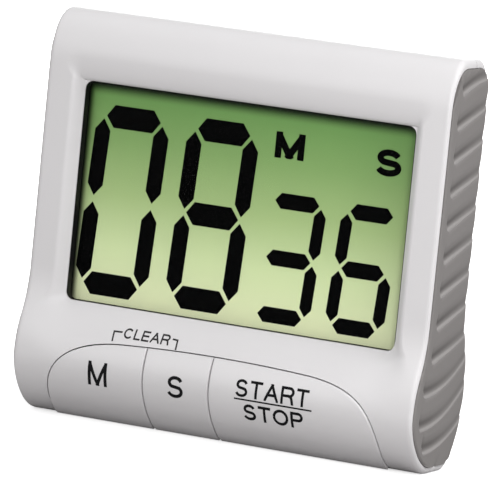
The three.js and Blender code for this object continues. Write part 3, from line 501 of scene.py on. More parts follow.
casing_plastic = moulded_finish("casing_plastic", (0.70, 0.687, 0.695), 0.42)
front_case = skin("front_case", 2 * half_columns - 1, len(front_sides), front_point)
close_and_hollow(front_case, parting)
cut(front_case, rounded(-window_half, window_half, window_low, window_high, 1.5), "y", -12, 0)
screw_places = [(x, z) for x in (-34.6, 34.6) for z in (10, 68)]
for x, z in screw_places:
    combine(front_case, rod("boss", x, z, boss_radius, -5.9 if z < 40 else -6.4, parting), "UNION")
    drill(front_case, x, z, bore_radius, -4, 2)

# opening for the keys: round shoulders and a gently arched top, running out under the chin
arch_half = 19
arch_height = 15.15
arch_rise = 0.57
arch_steps = 24
key_path = [(33.2, -2.0), (33.0, 3.3)]
key_path += bezier(((33, 3.3), (32.8, 11.4), (27.8, 14.4), (arch_half, arch_height)), 20)
left_shoulder = [(-x, z) for x, z in reversed(key_path)]
for k in range(1, arch_steps):
    rise = 4 * arch_rise * (k / arch_steps) * (1 - k / arch_steps)
    key_path.append((arch_half - 2 * arch_half * k / arch_steps, arch_height + rise))
key_path += left_shoulder
cut(front_case, moved(list(reversed(key_path)), 0.2), "y", -16, -3.5)

# recesses for the side grips
side_view = foot_and_chin + face_beside + over_back


def grip_outline(grow):
    """A border of the case stays free in front, above and below. The grip runs over the back edge."""
    points = []
    for index, point in enumerate(side_view):
        normal = outward(side_view, index, True)
        upright = 1.7 if normal.y > 0 else 1.3
        level = 1 - smooth((abs(normal.y) - (0.45 if normal.y > 0 else 0.6)) / 0.35)
        across = 0.7 if normal.x < 0 else blend(upright, -6, level)
        points.append((point[0] - normal.x * (across - grow), point[1] - normal.y * (upright - grow)))
    return points


def cut_grip_recess(piece, sign):
    cut(piece, grip_outline(0.1), "x", sign * grip_floor, sign * (case_half + 3))


for sign in (-1, 1):
    cut_grip_recess(front_case, sign)
finish_piece(front_case, casing_plastic, "casing", ["front_shell"])

# Rear case half: the same plastic. It holds the cell in its heel, and has a recess for the stand,
# four deep screw holes and the sound holes of the buzzer. It meets the front half in a fine joint.
rear_start = parting + 0.12
rear_sides = [(rear_start, case_top), *over_back, (rear_start, 0)]
rear_places = [0, 9, 18, 27, 34, *rounding_columns[1:]]
rear_places += [case_half - 3 * (1 - math.sin(math.radians(15 * k))) for k in range(5)]
rear_places.sort()
deep_boss_radius = 3.3
head_bore_radius = 2.9
head_floor = 4.9
cover_floor = 5.65
stand_floor = 6.85
sound_hole_radius = 0.8
through = 20


def rear_point(column, row):
    index = column - (len(rear_places) - 1)
    x = rear_places[abs(index)] * (-1 if index < 0 else 1)
    return edge_place(rear_sides[row], outward(rear_sides, row), x)


rear_case = skin("rear_case", 2 * len(rear_places) - 1, len(rear_sides), rear_point)
close_and_hollow(rear_case, rear_start)
stand_walls = slab("stand_walls", oblong(5.65, 9.0, 25.7, 65.5), "x", -18.5, 18.5)
combine(rear_case, stand_walls, "UNION")
bay_walls = slab("bay_walls", oblong(-1.05, 10.2, 6.2, 19.8), "x", -26.9, 26.9)
combine(rear_case, bay_walls, "UNION")
for x, z in screw_places:
    combine(rear_case, rod("boss", x, z, deep_boss_radius, rear_start, 8.2), "UNION")
    drill(rear_case, x, z, bore_radius, 0, through)
    drill(rear_case, x, z, head_bore_radius, head_floor, through)
cut(rear_case, oblong(0.05, through, 7.4, 18.6), "x", -25.7, 25.7)
cover_seat = slab("cover_seat", rounded(-26.7, 26.7, 6.4, 19.6, 1.5), "y", cover_floor, through)
cut(cover_seat, moved(side_view, -1.3), "x", -40, 40)
combine(rear_case, cover_seat, "DIFFERENCE")
cut(rear_case, oblong(stand_floor, through, 26.9, 64.3), "x", -17.3, 17.3)
thumb_notch = rounded(-6, 6, 60, 68, 2.5)
cut(rear_case, thumb_notch, "y", 7.75, through)
axle_hole = rounded(stand_floor, 9.25, 28.8, 31.2, 1.15)
for sign in (-1, 1):
    cut(rear_case, axle_hole, "x", 16 * sign, 18.8 * sign)
    cut_grip_recess(rear_case, sign)
sound_x, sound_z, sound_ring = 28.3, 48, 3.4
drill(rear_case, sound_x, sound_z, sound_hole_radius, 5, through, 20)
for turn in range(0, 360, 60):
    angle = math.radians(turn)
    x, z = sound_x + sound_ring * math.cos(angle), sound_z + sound_ring * math.sin(angle)
    drill(rear_case, x, z, sound_hole_radius, 5, through, 20)
finish_piece(rear_case, casing_plastic, "casing", ["rear_shell"])

# Side grips: soft grey elastomer, pressed into shallow recesses of the case. Slanted finger grooves
# start with a round end near the front and run back round the edge. Each has a sharp lower lip, with a
# painted highlight along it and painted shade in its nook.
groove_pitch = 5.9
groove_depth = 0.62
groove_end = 1.4
groove_heights = [case_top - 4.9] + [case_top - 11.1 - groove_pitch * k for k in range(10)] + [5.4]
groove_width = 2.9
lip_width = 0.5
grip_face = 40.0
grip_inner = 39.0
grip_back = 34
grip_rim = 0.45
corner_radius = 3.3
grip_side = grip_outline(0)


def crossing(points, height, pick):
    """Foremost or rearmost depth of a closed side view at a height."""
    found = []
    for a, b in zip(points, points[1:] + points[:1]):
        if (a[1] - height) * (b[1] - height) <= 0 and a[1] != b[1]:
            found.append(blend(a[0], b[0], (height - a[1]) / (b[1] - a[1])))
    return pick(found)


def corner_at(height, low=2.2, high=71.5):
    """Depth at which the grip begins to turn round the back edge of the case."""
    return crossing(side_view, min(max(height, low), high), max) - 3


def groove_line(number):
    """Height, start, slope and bend of a groove, counted from the top."""
    height = groove_heights[number]
    slope, bend = 0.42, -0.016
    if number:
        flatter = 1 - smooth((height - 14) / 10)
        slope, bend = blend(0.31, 0.03, flatter), 0.019 * flatter
    return height, crossing(grip_side, height, min) + 3.2, slope, bend


groove_lines = [groove_line(number) for number in range(len(groove_heights))]


def groove_height(number, run):
    height, start, slope, bend = groove_lines[number]
    return height + (run - start) * slope + (run - start) ** 2 * bend


def groove_shape(above):
    """Depth of a groove by the height above its lower lip, both in millimetres."""
    if above < -lip_width or above > groove_width:
        return 0
    if above < 0:
        return groove_depth * (1 - (above / lip_width) ** 2) ** 0.7
    return groove_depth * (1 - smooth(above / groove_width)) ** 0.9


def in_groove(number, run, z):
    """Depth of a groove at a place on the side, and how far the place lies on its lip, where a highlight
    is painted, or in its nook, where shade is painted.
    """
    reach = run - groove_lines[number][1] + 0.9
    if reach < -0.5:
        return 0, 0, 0
    above = z - groove_height(number, run) + 1.06
    height = above - rounding(groove_end, max(0, groove_end - max(reach, 0)))
    share = smooth((reach + 0.4) / 0.9) * (1 - 0.75 * smooth(reach / 13))
    start = smooth((reach + 0.5) / 0.6)
    # masks for the painted highlight along the lip and the painted shade in the nook above it
    lip = start * max(0, 1 - ((height + 0.27) / 0.34) ** 2) if above < 2.6 else 0
    nook_shade = start * (1 - 0.6 * smooth(reach / 14)) * max(0, 1 - ((above - 1.0) / 0.75) ** 2)
    return share * groove_shape(height), lip, nook_shade * smooth((height + 0.1) / 0.4)


levels = [-1.56, -1.5, -1.4, -1.25, -1.06, -0.86, -0.66, -0.45, -0.2, 0.1, 0.5, 1.0, 1.5, 1.9, 2.6, 3.5]
grip_rows = [(len(groove_heights) - 1, below) for below in (-6.5, -5, -3.5, -2.5, -1.75)]
for number in reversed(range(len(groove_heights))):
    room = 3 if number == 0 else groove_heights[number - 1] - groove_heights[number] - 1.7
    grip_rows += [(number, level) for level in levels if level < room]
grip_rows += [(0, 3.2), (0, 4.2), (0, 5.5)]
grip_runs = [0, 0.012, 0.025, 0.045, 0.065] + [0.085 + 0.014 * k for k in range(14)]
grip_runs += [blend(0.267, 1, k / 17) for k in range(1, 18)]
corner_turns = [math.radians(7 * k) for k in range(1, 9)]


def raised(number, level, run):
    """Height of a row of the grip, between two grooves and in line with both."""
    z = groove_height(number, run) + level
    upper = number - 1
    if upper >= 0 and level > 0:
        gap = groove_heights[upper] - groove_heights[number]
        above = groove_height(upper, run) + level - gap
        z = blend(z, above, level / gap)
    return z


def distance_to(line, point):
    """Shortest way from a point to a line through points."""
    ways = []
    for start, end in zip(line, line[1:]):
        along = end - start
        share = 0 if along.length < 1e-6 else (point - start).dot(along) / along.length_squared
        ways.append((point - (start + along * min(1, max(0, share)))).length)
    return min(ways)


grip_border = [Vector(p) for p in grip_side + grip_side[:1]]


def grip_point(column, row):
    """Along the side of the case first, then round its back edge. Grooves and rim are drawn in."""
    number, level = grip_rows[row]
    height = groove_lines[number][0] + level
    front = crossing(grip_side, min(max(height, 1.7), 71.2), min) - 0.25
    turn = 0
    corner = corner_at(height + 4, 3, 70.5)
    for _ in range(3):
        corner = corner_at(raised(number, level, corner))
    if column < len(grip_runs):
        run = y = blend(front, corner, grip_runs[column])
    else:
        turn = corner_turns[column - len(grip_runs)]
        run = corner + corner_radius * turn
        y = corner + corner_radius * math.sin(turn)
    z = raised(number, level, run)
    depth = max(in_groove(each, run, z)[0] for each in range(len(groove_lines)))
    to_border = distance_to(grip_border, Vector((y, z))) if y < corner + 1 else grip_rim
    inwards = max(depth, rounding(grip_rim, max(0, grip_rim - to_border)))
    return (grip_face - corner_radius + (corner_radius - inwards) * math.cos(turn),
            y - inwards * math.sin(turn), z)


def turn_outwards():
    bpy.ops.object.mode_set(mode="EDIT")
    face_outwards()
    bpy.ops.object.mode_set(mode="OBJECT")


def close_back(piece, axis, reach, level):
    """Draws the open rim of a skin out along an axis to a flat back, and fills it there."""
    edit_open_edges(piece, lambda p: True)
    step = [0, 0, 0]
    step[axis] = reach
    bpy.ops.mesh.extrude_region_move(TRANSFORM_OT_translate={"value": step})
    bpy.ops.object.mode_set(mode="OBJECT")
    for vertex in piece.data.vertices:
        if vertex.select:
            vertex.co[axis] = level
    fill_hole(piece, lambda p: abs(p[axis] - level) < 0.01)


def mark_grooves(piece):
    """Writes on the grip's outer points how far each lies in a nook or on a lip, for the painted shade
    and the painted highlight.
    """
    for trait in ("nook_shade", "lip"):
        piece.data.attributes.new(trait, "FLOAT", "POINT")
    traits = piece.data.attributes
    for vertex, nook_shade, lip in zip(piece.data.vertices, traits["nook_shade"].data, traits["lip"].data):
        place = vertex.co
        if place.x > grip_inner + 0.05:
            corner = corner_at(place.z)
            away = Vector((grip_face - corner_radius, corner))
            turn = math.atan2(place.y - away.y, place.x - away.x) if place.y > away.y else 0
            run = away.y + corner_radius * turn if turn else place.y
            marks = [in_groove(each, run, place.z) for each in range(len(groove_lines))]
            lip.value = max(mark[1] for mark in marks)
            nook_shade.value = max(mark[2] for mark in marks)


soft_grip = moulded_finish("soft_grip", (0.215, 0.203, 0.198), 0.72, 1900, 0.00004, 0.04)
tree = soft_grip.node_tree
shader = tree.nodes["Principled BSDF"]
# painted shade in the nooks and a painted highlight along the lips, mixed over the grip's own colour
for trait, colour in (("nook_shade", (0.125, 0.117, 0.113, 1)), ("lip", (0.285, 0.272, 0.266, 1))):
    marked = add_node(tree, "Attribute", attribute_name=trait)
    blended = add_node(tree, "Mix", {"B": colour}, data_type="RGBA")
    tree.links.new(shader.inputs["Base Color"].links[0].from_socket, blended.inputs["A"])
    wire(tree, (marked, "Fac", blended, "Factor"), (blended, "Result", shader, "Base Color"))
for side, sign in (("right", 1), ("left", -1)):
    columns = len(grip_runs) + len(corner_turns)
    side_grip = skin(f"side_grip_{side}", columns, len(grip_rows), grip_point)
    turn_outwards()
    close_back(side_grip, 0, -6, grip_back)
    combine(side_grip, slab("outline", grip_side, "x", grip_inner, grip_face + 2), "INTERSECT")
    mark_grooves(side_grip)
    if sign < 0:
        for vertex in side_grip.data.vertices:
            vertex.co.x = -vertex.co.x
        turn_outwards()
    finish_piece(side_grip, soft_grip, "casing", [f"grip_{side}"], 50)

# Keys: three caps of the casing's plastic, moulded to the curve of the chin with softly rounded rims.
# Each has a plunger that presses a rubber dome on the board. Fine gaps part them.
chin_line = foot_and_chin + [
    (face_in_middle(z), z) for z in (blend(chin_height, window_low, k / 24) for k in range(1, 25))
]
chin_lengths = [0]
for a, b in zip(chin_line, chin_line[1:]):
    chin_lengths.append(chin_lengths[-1] + (Vector(b) - Vector(a)).length)


def on_chin(length, out):
    """Point (y, z) at a length up the chin's skin, moved outwards."""
    index = max(i for i, at in enumerate(chin_lengths[:-1]) if at <= max(length, 0))
    share = (length - chin_lengths[index]) / (chin_lengths[index + 1] - chin_lengths[index])
    point = Vector(chin_line[index]).lerp(Vector(chin_line[index + 1]), share)
    normal = outward(chin_line, index).lerp(outward(chin_line, index + 1), share).normalized()
    return tuple(point + normal * out)


def chin_length(height):
    """Length up the skin at which it reaches a height."""
    for index, (a, b) in enumerate(zip(chin_line, chin_line[1:])):
        if b[1] >= height:
            share = (height - a[1]) / max(b[1] - a[1], 1e-6)
            return blend(chin_lengths[index], chin_lengths[index + 1], max(0, share))
    return chin_lengths[-1]


key_border = [Vector((x, chin_length(z))) for x, z in key_path if z > 0.2]
key_start = chin_length(0.55)
key_end = 33.09
key_back = -4.5
key_rim = 0.3
key_rows = 26
close = (0, 0.02, 0.07, 0.16, 0.3, 0.6)
flank = (0, 0.04, 0.1, 0.2, 0.35, 0.6, 0.95, 1.4, 2, 2.7, 3.5, 4.4, 5.4, 6.5)


def key_out(length):
    """How far a key stands out of the chin. It stands out more under it."""
    return 0.23 + 0.25 * (1 - smooth((length - key_start) / 5))


def key_top(x):
    """Length up the skin at which the key opening ends above a place."""
    for (x1, z1), (x0, z0) in zip(key_path, key_path[1:]):
        if x0 <= x <= x1:
            return chin_length(blend(z0, z1, (x - x0) / max(x1 - x0, 1e-6)))
    return key_start


def key_columns(start, end):
    """Places across a key: close together at its flat ends, and along its round shoulders."""
    before = [start + c for c in (flank if start == -key_end else close[:5])]
    after = [end - c for c in (flank if end == key_end else close[:5])]
    count = round((after[-1] - before[-1]) / 1.1)
    between = [blend(before[-1], after[-1], k / count) for k in range(1, count)]
    return before + between + after[::-1]


def make_key(name, start, end, node):
    columns = key_columns(start, end)
    flat_ends = [x for x in (start, end) if abs(x) != key_end]

    def key_point(column, row):
        x = columns[column]
        top = max(key_top(x), key_start + 0.3)
        from_top = key_rows - 1 - row
        crowded = min(1, (top - key_start) / 4)
        if from_top < len(close):
            length = top - close[from_top] * crowded
        else:
            share = row / (key_rows - len(close) - 1)
            length = blend(key_start, top - close[-1] * crowded, share * 0.985)
        away = min(distance_to(key_border, Vector((x, length))), *(abs(x - flat) for flat in flat_ends))
        fall = rounding(key_rim, max(0, key_rim - away))
        return (x, *on_chin(length, key_out(length) - fall))

    cap = skin(name, len(columns), key_rows, key_point)
    close_back(cap, 1, 5, key_back)
    combine(cap, rod("plunger", (start + end) / 2, chin_height, 1.8, -9, -5.5), "UNION")
    finish_piece(cap, key_plastic, node, [node])


key_plastic = moulded_finish("key_plastic", (0.70, 0.687, 0.695), 0.38)
make_key("key_cap_minutes", -key_end, -13.29, "key_minutes")
make_key("key_cap_seconds", -13.11, -0.09, "key_seconds")
make_key("key_cap_start_stop", 0.09, key_end, "key_start_stop")

# Lettering: thin dark grey print on the keys and on the ramp above them. A bracket on each side of
# the word on the ramp points to the two keys that clear the display when pressed together.
letter_ink = moulded_finish("letter_ink", (0.006, 0.006, 0.007), 0.6, 3000, 0.000005, sheen=0.1)
ramp_ink = moulded_finish("ramp_ink", (0.035, 0.033, 0.034), 0.6, 3000, 0.000005, sheen=0.1)
film = 0.02
key_surface = 0.225
ramp_surface = -0.005


def arc(x, z, across, up, start, end, steps=14):
    turns = [math.radians(blend(start, end, k / steps)) for k in range(steps + 1)]
    return [(x + across * math.cos(turn), z + up * math.sin(turn)) for turn in turns]


# strokes of the capitals that are needed, each in a box one wide and one high
post = [(0, 0), (0, 1)]
bowl = [(0, 1), *arc(0.66, 0.74, 0.34, 0.26, 90, -90, 10), (0, 0.48)]
letter_s = [*arc(0.5, 0.745, 0.43, 0.255, 15, 235, 12), *arc(0.5, 0.265, 0.48, 0.265, 50, -165, 12)]
letter_strokes = {
    "A": ([(0, 0), (0.5, 1)], [(0.5, 1), (1, 0)], [(0.2, 0.34), (0.8, 0.34)]),
    "C": (arc(0.5, 0.5, 0.5, 0.5, 38, 322, 20),),
    "E": (post, [(0, 1), (1, 1)], [(0, 0), (1, 0)], [(0, 0.52), (0.9, 0.52)]),
    "L": (post, [(0, 0), (1, 0)]),
    "M": (post, [(1, 0), (1, 1)], [(0, 1), (0.5, 0)], [(0.5, 0), (1, 1)]),
    "O": (arc(0.5, 0.5, 0.5, 0.5, 0, 180, 12), arc(0.5, 0.5, 0.5, 0.5, 180, 360, 12)),
    "P": (post, bowl),
    "R": (post, bowl, [(0.6, 0.48), (0.84, 0.4), (0.92, 0.2), (0.97, 0)]),
    "S": (letter_s,),
    "T": ([(0, 1), (1, 1)], [(0.5, 1), (0.5, 0)]),
}
letter_widths = {
    "A": 0.66, "C": 0.65, "E": 0.54, "L": 0.47, "M": 0.72, "O": 0.7, "P": 0.56, "R": 0.61, "S": 0.58,
    "T": 0.56,
}


def stripe(name, points, width, longer=0):
    """A flat line of even width through the given points, drawn in width and height."""
    points = [Vector(p) for p in points]
    points[0] += (points[0] - points[1]).normalized() * longer
    points[-1] += (points[-1] - points[-2]).normalized() * longer
    left, right = [], []
    for index, point in enumerate(points):
        before = (point - points[index - 1]).normalized() if index else Vector((0, 0))
        after = (points[index + 1] - point).normalized() if index < len(points) - 1 else Vector((0, 0))
        along = (before + after).normalized()
        lean = along.dot(after if index == 0 else before)
        across = Vector((-along.y, along.x)) * width / 2 / max(lean, 0.5)
        left.append(tuple(point + across))
        right.append(tuple(point - across))
    return slab(name, left + right[::-1], "y", -film, 0)


def united(pieces):
    for piece in pieces[1:]:
        combine(pieces[0], piece, "UNION")
    return pieces[0]


def word(name, text, box, width):
    """A word of plain upright capitals that fills a box of (x0, x1, z0, z1)."""
    x0, x1, z0, z1 = box
    gap = 0.1
    scale = (x1 - x0) / (sum(letter_widths[c] for c in text) + gap * (len(text) - 1))
    letters = []
    for letter in text:
        reach = letter_widths[letter] * scale
        left, right, low, high = x0 + width / 2, x0 + reach - width / 2, z0 + width / 2, z1 - width / 2
        strokes = []
        for points in letter_strokes[letter]:
            placed = [(blend(left, right, u), blend(low, high, v)) for u, v in points]
            longer = 0 if len(points) > 6 else width * 0.6
            strokes.append(stripe(name, placed, width, longer))
        character = united(strokes)
        letter_box = slab("letter_box", oblong(x0, x0 + reach, z0, z1), "y", -film - 1, 1)
        combine(character, letter_box, "INTERSECT")
        letters.append(character)
        x0 += reach + gap * scale
    return united(letters)


def print_on(piece, out, ink, body, bands=8):
    """Lays a thin flat piece on the skin of the chin or the ramp, by its height."""
    select_only(piece)
    heights = [v.co.z for v in piece.data.vertices]
    low, high = min(heights), max(heights)
    bpy.ops.object.mode_set(mode="EDIT")
    for k in range(1, bands):
        bpy.ops.mesh.select_all(action="SELECT")
        bpy.ops.mesh.bisect(plane_co=(0, 0, blend(low, high, k / bands)), plane_no=(0, 0, 1))
    bpy.ops.object.mode_set(mode="OBJECT")
    for vertex in piece.data.vertices:
        vertex.co.y, vertex.co.z = on_chin(chin_length(vertex.co.z), out - vertex.co.y)
    finish_piece(piece, ink, body)


for name, text, box, width, body in (
    ("letter_minutes", "M", (-24.1, -20.3, 7.4, 11.7), 0.6, "key_minutes"),
    ("letter_seconds", "S", (-8.15, -4.85, 7.6, 11.5), 0.6, "key_seconds"),
    ("word_start", "START", (5.4, 19.8, 9.8, 12.9), 0.48, "key_start_stop"),
    ("word_stop", "STOP", (7.0, 18.8, 5.8, 8.7), 0.5, "key_start_stop"),
):
    print_on(word(name, text, box, width), key_surface, letter_ink, body)
line = stripe("line_start_stop", [(5.3, 9.4), (20.55, 9.4)], 0.28)
print_on(line, key_surface, letter_ink, "key_start_stop", 1)
clear = word("word_clear", "CLEAR", (-18.68, -9.5, 16.45, 18.25), 0.31)
print_on(clear, ramp_surface, ramp_ink, "casing", 4)
for name, points in (
    ("bracket_left", [(-20.5, 15.65), (-20.7, 17.35), (-19.05, 17.42)]),
    ("bracket_right", [(-9.0, 17.62), (-8.0, 17.55), (-7.8, 15.9)]),
):
    print_on(stripe(name, points, 0.3), ramp_surface, ramp_ink, "casing", 5)

# Display: a reflective panel of pale green with dark strokes, under a clear pane. A black holder
# frames it and presses it against the window from inside. The softer light on its upper part and the
# holder's shadow along its edges are painted into its colour.
display_black = moulded_finish("display_black", (0.006, 0.006, 0.006), 0.5, 3000, 0.00001, sheen=0.15)
stroke_dark = moulded_finish("stroke_dark", (0.002, 0.002, 0.0022), 0.8, 800, 0.000002, sheen=0)
holder = slab("display_frame", rounded(-35.9, 35.9, 18.2, 64.4, 1), "y", -5.4, -2.7)
rim = slab("rim", rounded(-32.74, 32.74, 21.36, 61.24, 1.44), "y", -6.38, -5.2)
combine(holder, rim, "UNION")
opening = rounded(-32.64, 32.64, 21.38, 61.14, 1.3)
cut(holder, opening, "y", -7, -4.9)
panel_pocket = rounded(-35.2, 35.2, 18.9, 63.7, 0.5)
cut(holder, panel_pocket, "y", -5, 0)
finish_piece(holder, display_black, "casing", ["display_holder"])


def dress(finish, *names):
    """Gives pieces of the frame a finish. They keep their forms."""
    for name in names:
        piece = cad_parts[name]
        piece.data.materials.clear()
        piece.data.materials.append(finish)


panel_green, tree = new_finish("panel_green")
shader = tree.nodes["Principled BSDF"]
shader.inputs["Roughness"].default_value = 0.6
shader.inputs["Specular IOR Level"].default_value = 0.2
place = add_node(tree, "TexCoord")
parts = add_node(tree, "SeparateXYZ")
wire(tree, (place, "Object", parts, 0))


def between(axis, low, high, curve="SMOOTHSTEP"):
    """A share that rises from 0 to 1 between two places along an axis, in metres."""
    share = add_node(tree, "MapRange", {"From Min": low, "From Max": high}, interpolation_type=curve)
    wire(tree, (parts, axis, share, "Value"))
    return share


def product(a, b):
    times = add_node(tree, "Math", operation="MULTIPLY")
    wire(tree, (a, 0, times, 0), (b, 0, times, 1))
    return times


# painted light: the panel's colour runs from pale at the bottom to darker green at the top, for the
# softer light on its upper part
shades = add_node(tree, "ValToRGB")
shades.color_ramp.elements[0].color = (0.97, 1.0, 0.66, 1)
shades.color_ramp.elements[1].color = (0.168, 0.356, 0.10, 1)
shades.color_ramp.elements.new(0.25).color = (0.82, 0.93, 0.54, 1)
shades.color_ramp.elements.new(0.5).color = (0.5, 0.655, 0.297, 1)
shades.color_ramp.elements.new(0.75).color = (0.293, 0.472, 0.171, 1)
# painted shade: black at the window's edges, where the holder throws its shadow, fading inwards over
# about a millimetre, and a slight darkening towards the panel's right side
edges = product(
    product(between("X", -0.0331, -0.0318), between("Z", 0.0611, 0.0586)),
    product(between("X", 0.0326, 0.0318), between("Z", 0.0208, 0.0213)),
)
edges = product(edges, between("X", 0.075, 0.012))
shaded = add_node(tree, "Mix", {"A": (0.004, 0.005, 0.003, 1)}, data_type="RGBA")
wire(
    tree,
    (between("Z", 0.0215, 0.0612, "LINEAR"), 0, shades, 0),
    (edges, 0, shaded, "Factor"),
    (shades, 0, shaded, "B"),
    (shaded, "Result", shader, "Base Color"),
)
dress(panel_green, "display_sheet")
dress(display_black, "display_backing")

# strokes of the digits: bars with pointed ends between the corners of each digit, row by row. The two
# sizes of digit are given as height, width of an upright, width of a bar, lean and foot.
large = (30.6, 3.05, 4.1, 0.051, 24.6)
small = (20.6, 2.3, 2.8, 0.065, 23.95)
digit_strokes = {
    "0": ((0, 1), (0, 2), (1, 3), (2, 4), (3, 5), (4, 5)),
    "3": ((0, 1), (1, 3), (2, 3), (3, 5), (4, 5)),
    "6": ((0, 1), (0, 2), (1, 3), (2, 3), (2, 4), (4, 5)),
    "8": ((0, 1), (0, 2), (1, 3), (2, 3), (2, 4), (3, 5), (4, 5)),
}
ink_front = -3.975
for digit, left, width, (height, post, bar, lean, foot) in (
    ("0", -31.2, 11.8, large),
    ("8", -12.75, 11.3, large),
    ("3", 4.0, 9.6, small),
    ("6", 18.8, 9.2, small),
):
    corners = [
        Vector((x + lean * height * row / 2, foot + height * row / 2))
        for row in range(3) for x in (left, left + width)
    ]
    strokes = []
    for a, b in digit_strokes[digit]:
        thick, cross = (bar, post) if b - a == 1 else (post, bar)
        start, end = corners[a], corners[b]
        along = (end - start).normalized()
        across = Vector((-along.y, along.x)) * (thick / 2 + 0.02)
        tip = 0.36 * math.hypot(thick, cross) / thick
        setback = along * (tip - 0.02)
        shoulder = along * (tip + cross / 2)
        outline = [
            start + setback, start + shoulder - across, end - shoulder - across, end - setback,
            end - shoulder + across, start + shoulder + across,
        ]
        strokes.append(slab("stroke", [tuple(p) for p in outline], "y", ink_front, ink_front + film))
    select_only(*strokes)
    bpy.ops.object.join()
    digit_film = bpy.context.object
    digit_film.name = digit_film.data.name = f"digit_{digit}"
    finish_piece(digit_film, stroke_dark, "casing")
for name, letter, box, width in (
    ("sign_minutes", "M", (4.75, 10.5, 52.1, 56.8), 1.3),
    ("sign_seconds", "S", (24.4, 29.6, 51.6, 56.4), 1.15),
):
    sign_film = word(name, letter, box, width)
    for vertex in sign_film.data.vertices:
        vertex.co.y += ink_front + film
    finish_piece(sign_film, stroke_dark, "casing")

# pane: clear in front of the panel, with a weak reflection of uneven gloss
clear_pane, tree = new_finish("clear_pane")
tree.nodes.clear()
output = add_node(tree, "OutputMaterial")
clear = add_node(tree, "BsdfTransparent", {"Color": (0.98, 0.99, 0.98, 1)})
gloss = add_node(tree, "BsdfGlossy")
mix = add_node(tree, "MixShader")
fresnel = add_node(tree, "Fresnel", {"IOR": 1.1})
place = add_node(tree, "TexCoord")
haze = add_node(tree, "TexNoise", {"Scale": 90})
fine = add_node(tree, "MapRange", {"To Min": 0.03, "To Max": 0.09})
wire(
    tree,
    (place, "Object", haze, "Vector"),
    (haze, "Fac", fine, "Value"),
    (fine, "Result", gloss, "Roughness"),
    (fresnel, 0, mix, 0),
    (clear, 0, mix, 1),
    (gloss, 0, mix, 2),
    (mix, 0, output, "Surface"),
)
dress(clear_pane, "display_window")

# Battery cover: a snap-in lid of the casing's plastic that carries on the curve of the heel. A rib
# inside its upper edge springs into the bay. Five short grooves give the thumb a hold.
lid = slab("battery_lid", side_view, "x", -26.4, 26.4)
lid_plan = slab("lid_plan", rounded(-26.4, 26.4, 6.7, 19.3, 1.5), "y", cover_floor, through)
combine(lid, lid_plan, "INTERSECT")
cut(lid, moved(side_view, -1), "x", -30, 30)
for k in range(-2, 3):
    groove = rounded(2.2 * k - 0.45, 2.2 * k + 0.45, 10.4, 15.6, 0.44)
    cut(lid, groove, "y", heel_back - 0.35, through)


def soften(piece, width, segments):
    """Rounds the sharp edges of a piece."""
    soft = piece.modifiers.new("soft", "BEVEL")
    soft.width = width
    soft.segments = segments
    soft.angle_limit = math.radians(50)
    bpy.context.view_layer.objects.active = piece
    bpy.ops.object.modifier_apply(modifier="soft")


soften(lid, 0.12, 2)
rib = slab("rib", oblong(8.65, 11.3, 17.5, 18.3), "x", -25.4, 25.4)
combine(rib, slab("inside", moved(side_view, -0.8), "x", -30, 30), "INTERSECT")
combine(lid, rib, "UNION")
finish_piece(lid, casing_plastic, "battery_cover", ["battery_cover"])

# Stand: a moulded flap that lies flush in the back and swings down on two stub axles of its own. It
# is a little narrower at its free end. Two pockets in its inner side save plastic.
flap_inner = 7.15
flap_outer = 8.95
pocket_floor = 8.05
hinge_depth = 8.05
hinge_height = 30
flap_corner = [
    (blend(blend(14.6, 14, t), blend(14, 10, t), t), blend(blend(60, 64, t), 64, t))
    for t in (k / 8 for k in range(9))
]
flap_outline = [(-17, hinge_height), (17, hinge_height), *flap_corner]
flap_outline += [(-x, z) for x, z in reversed(flap_corner)]
flap = slab("stand_flap", flap_outline, "y", flap_inner, flap_outer)
for x0 in (-12, 1):
    cut(flap, rounded(x0, x0 + 11, 33, 61, 1), "y", 6, pocket_floor)
soften(flap, 0.25, 3)
bpy.ops.mesh.primitive_cylinder_add(
    vertices=32, radius=0.9, depth=37, location=(0, hinge_depth, hinge_height),
    rotation=(0, math.pi / 2, 0),
)
axle = bpy.context.object
bpy.ops.object.transform_apply()
combine(flap, axle, "UNION")
finish_piece(flap, casing_plastic, "stand", ["stand"])

# Case screws: four self-tapping pan-head screws of nickel-plated steel with a cross recess. They sit
# deep in the bores of the rear half and draw the front half onto it.


def turned(name, profile, middle, axis, around=32):
    """A turned form. Its profile is given as radius and place along the axis, from pole to pole."""
    def point(column, row):
        radius, along = profile[row]
        if callable(radius):
            radius = radius(column / around)
        angle = 2 * math.pi * column / around
        across, height = radius * math.cos(angle), radius * math.sin(angle)
        place = (along, across, height) if axis == "x" else (across, along, height)
        return tuple(a + b for a, b in zip(place, middle))

    piece = skin(name, around + 1, len(profile), point)
    bpy.ops.object.mode_set(mode="EDIT")
    bpy.ops.mesh.select_all(action="SELECT")
    bpy.ops.mesh.remove_doubles(threshold=0.0005)
    face_outwards()
    bpy.ops.object.mode_set(mode="OBJECT")
    return piece


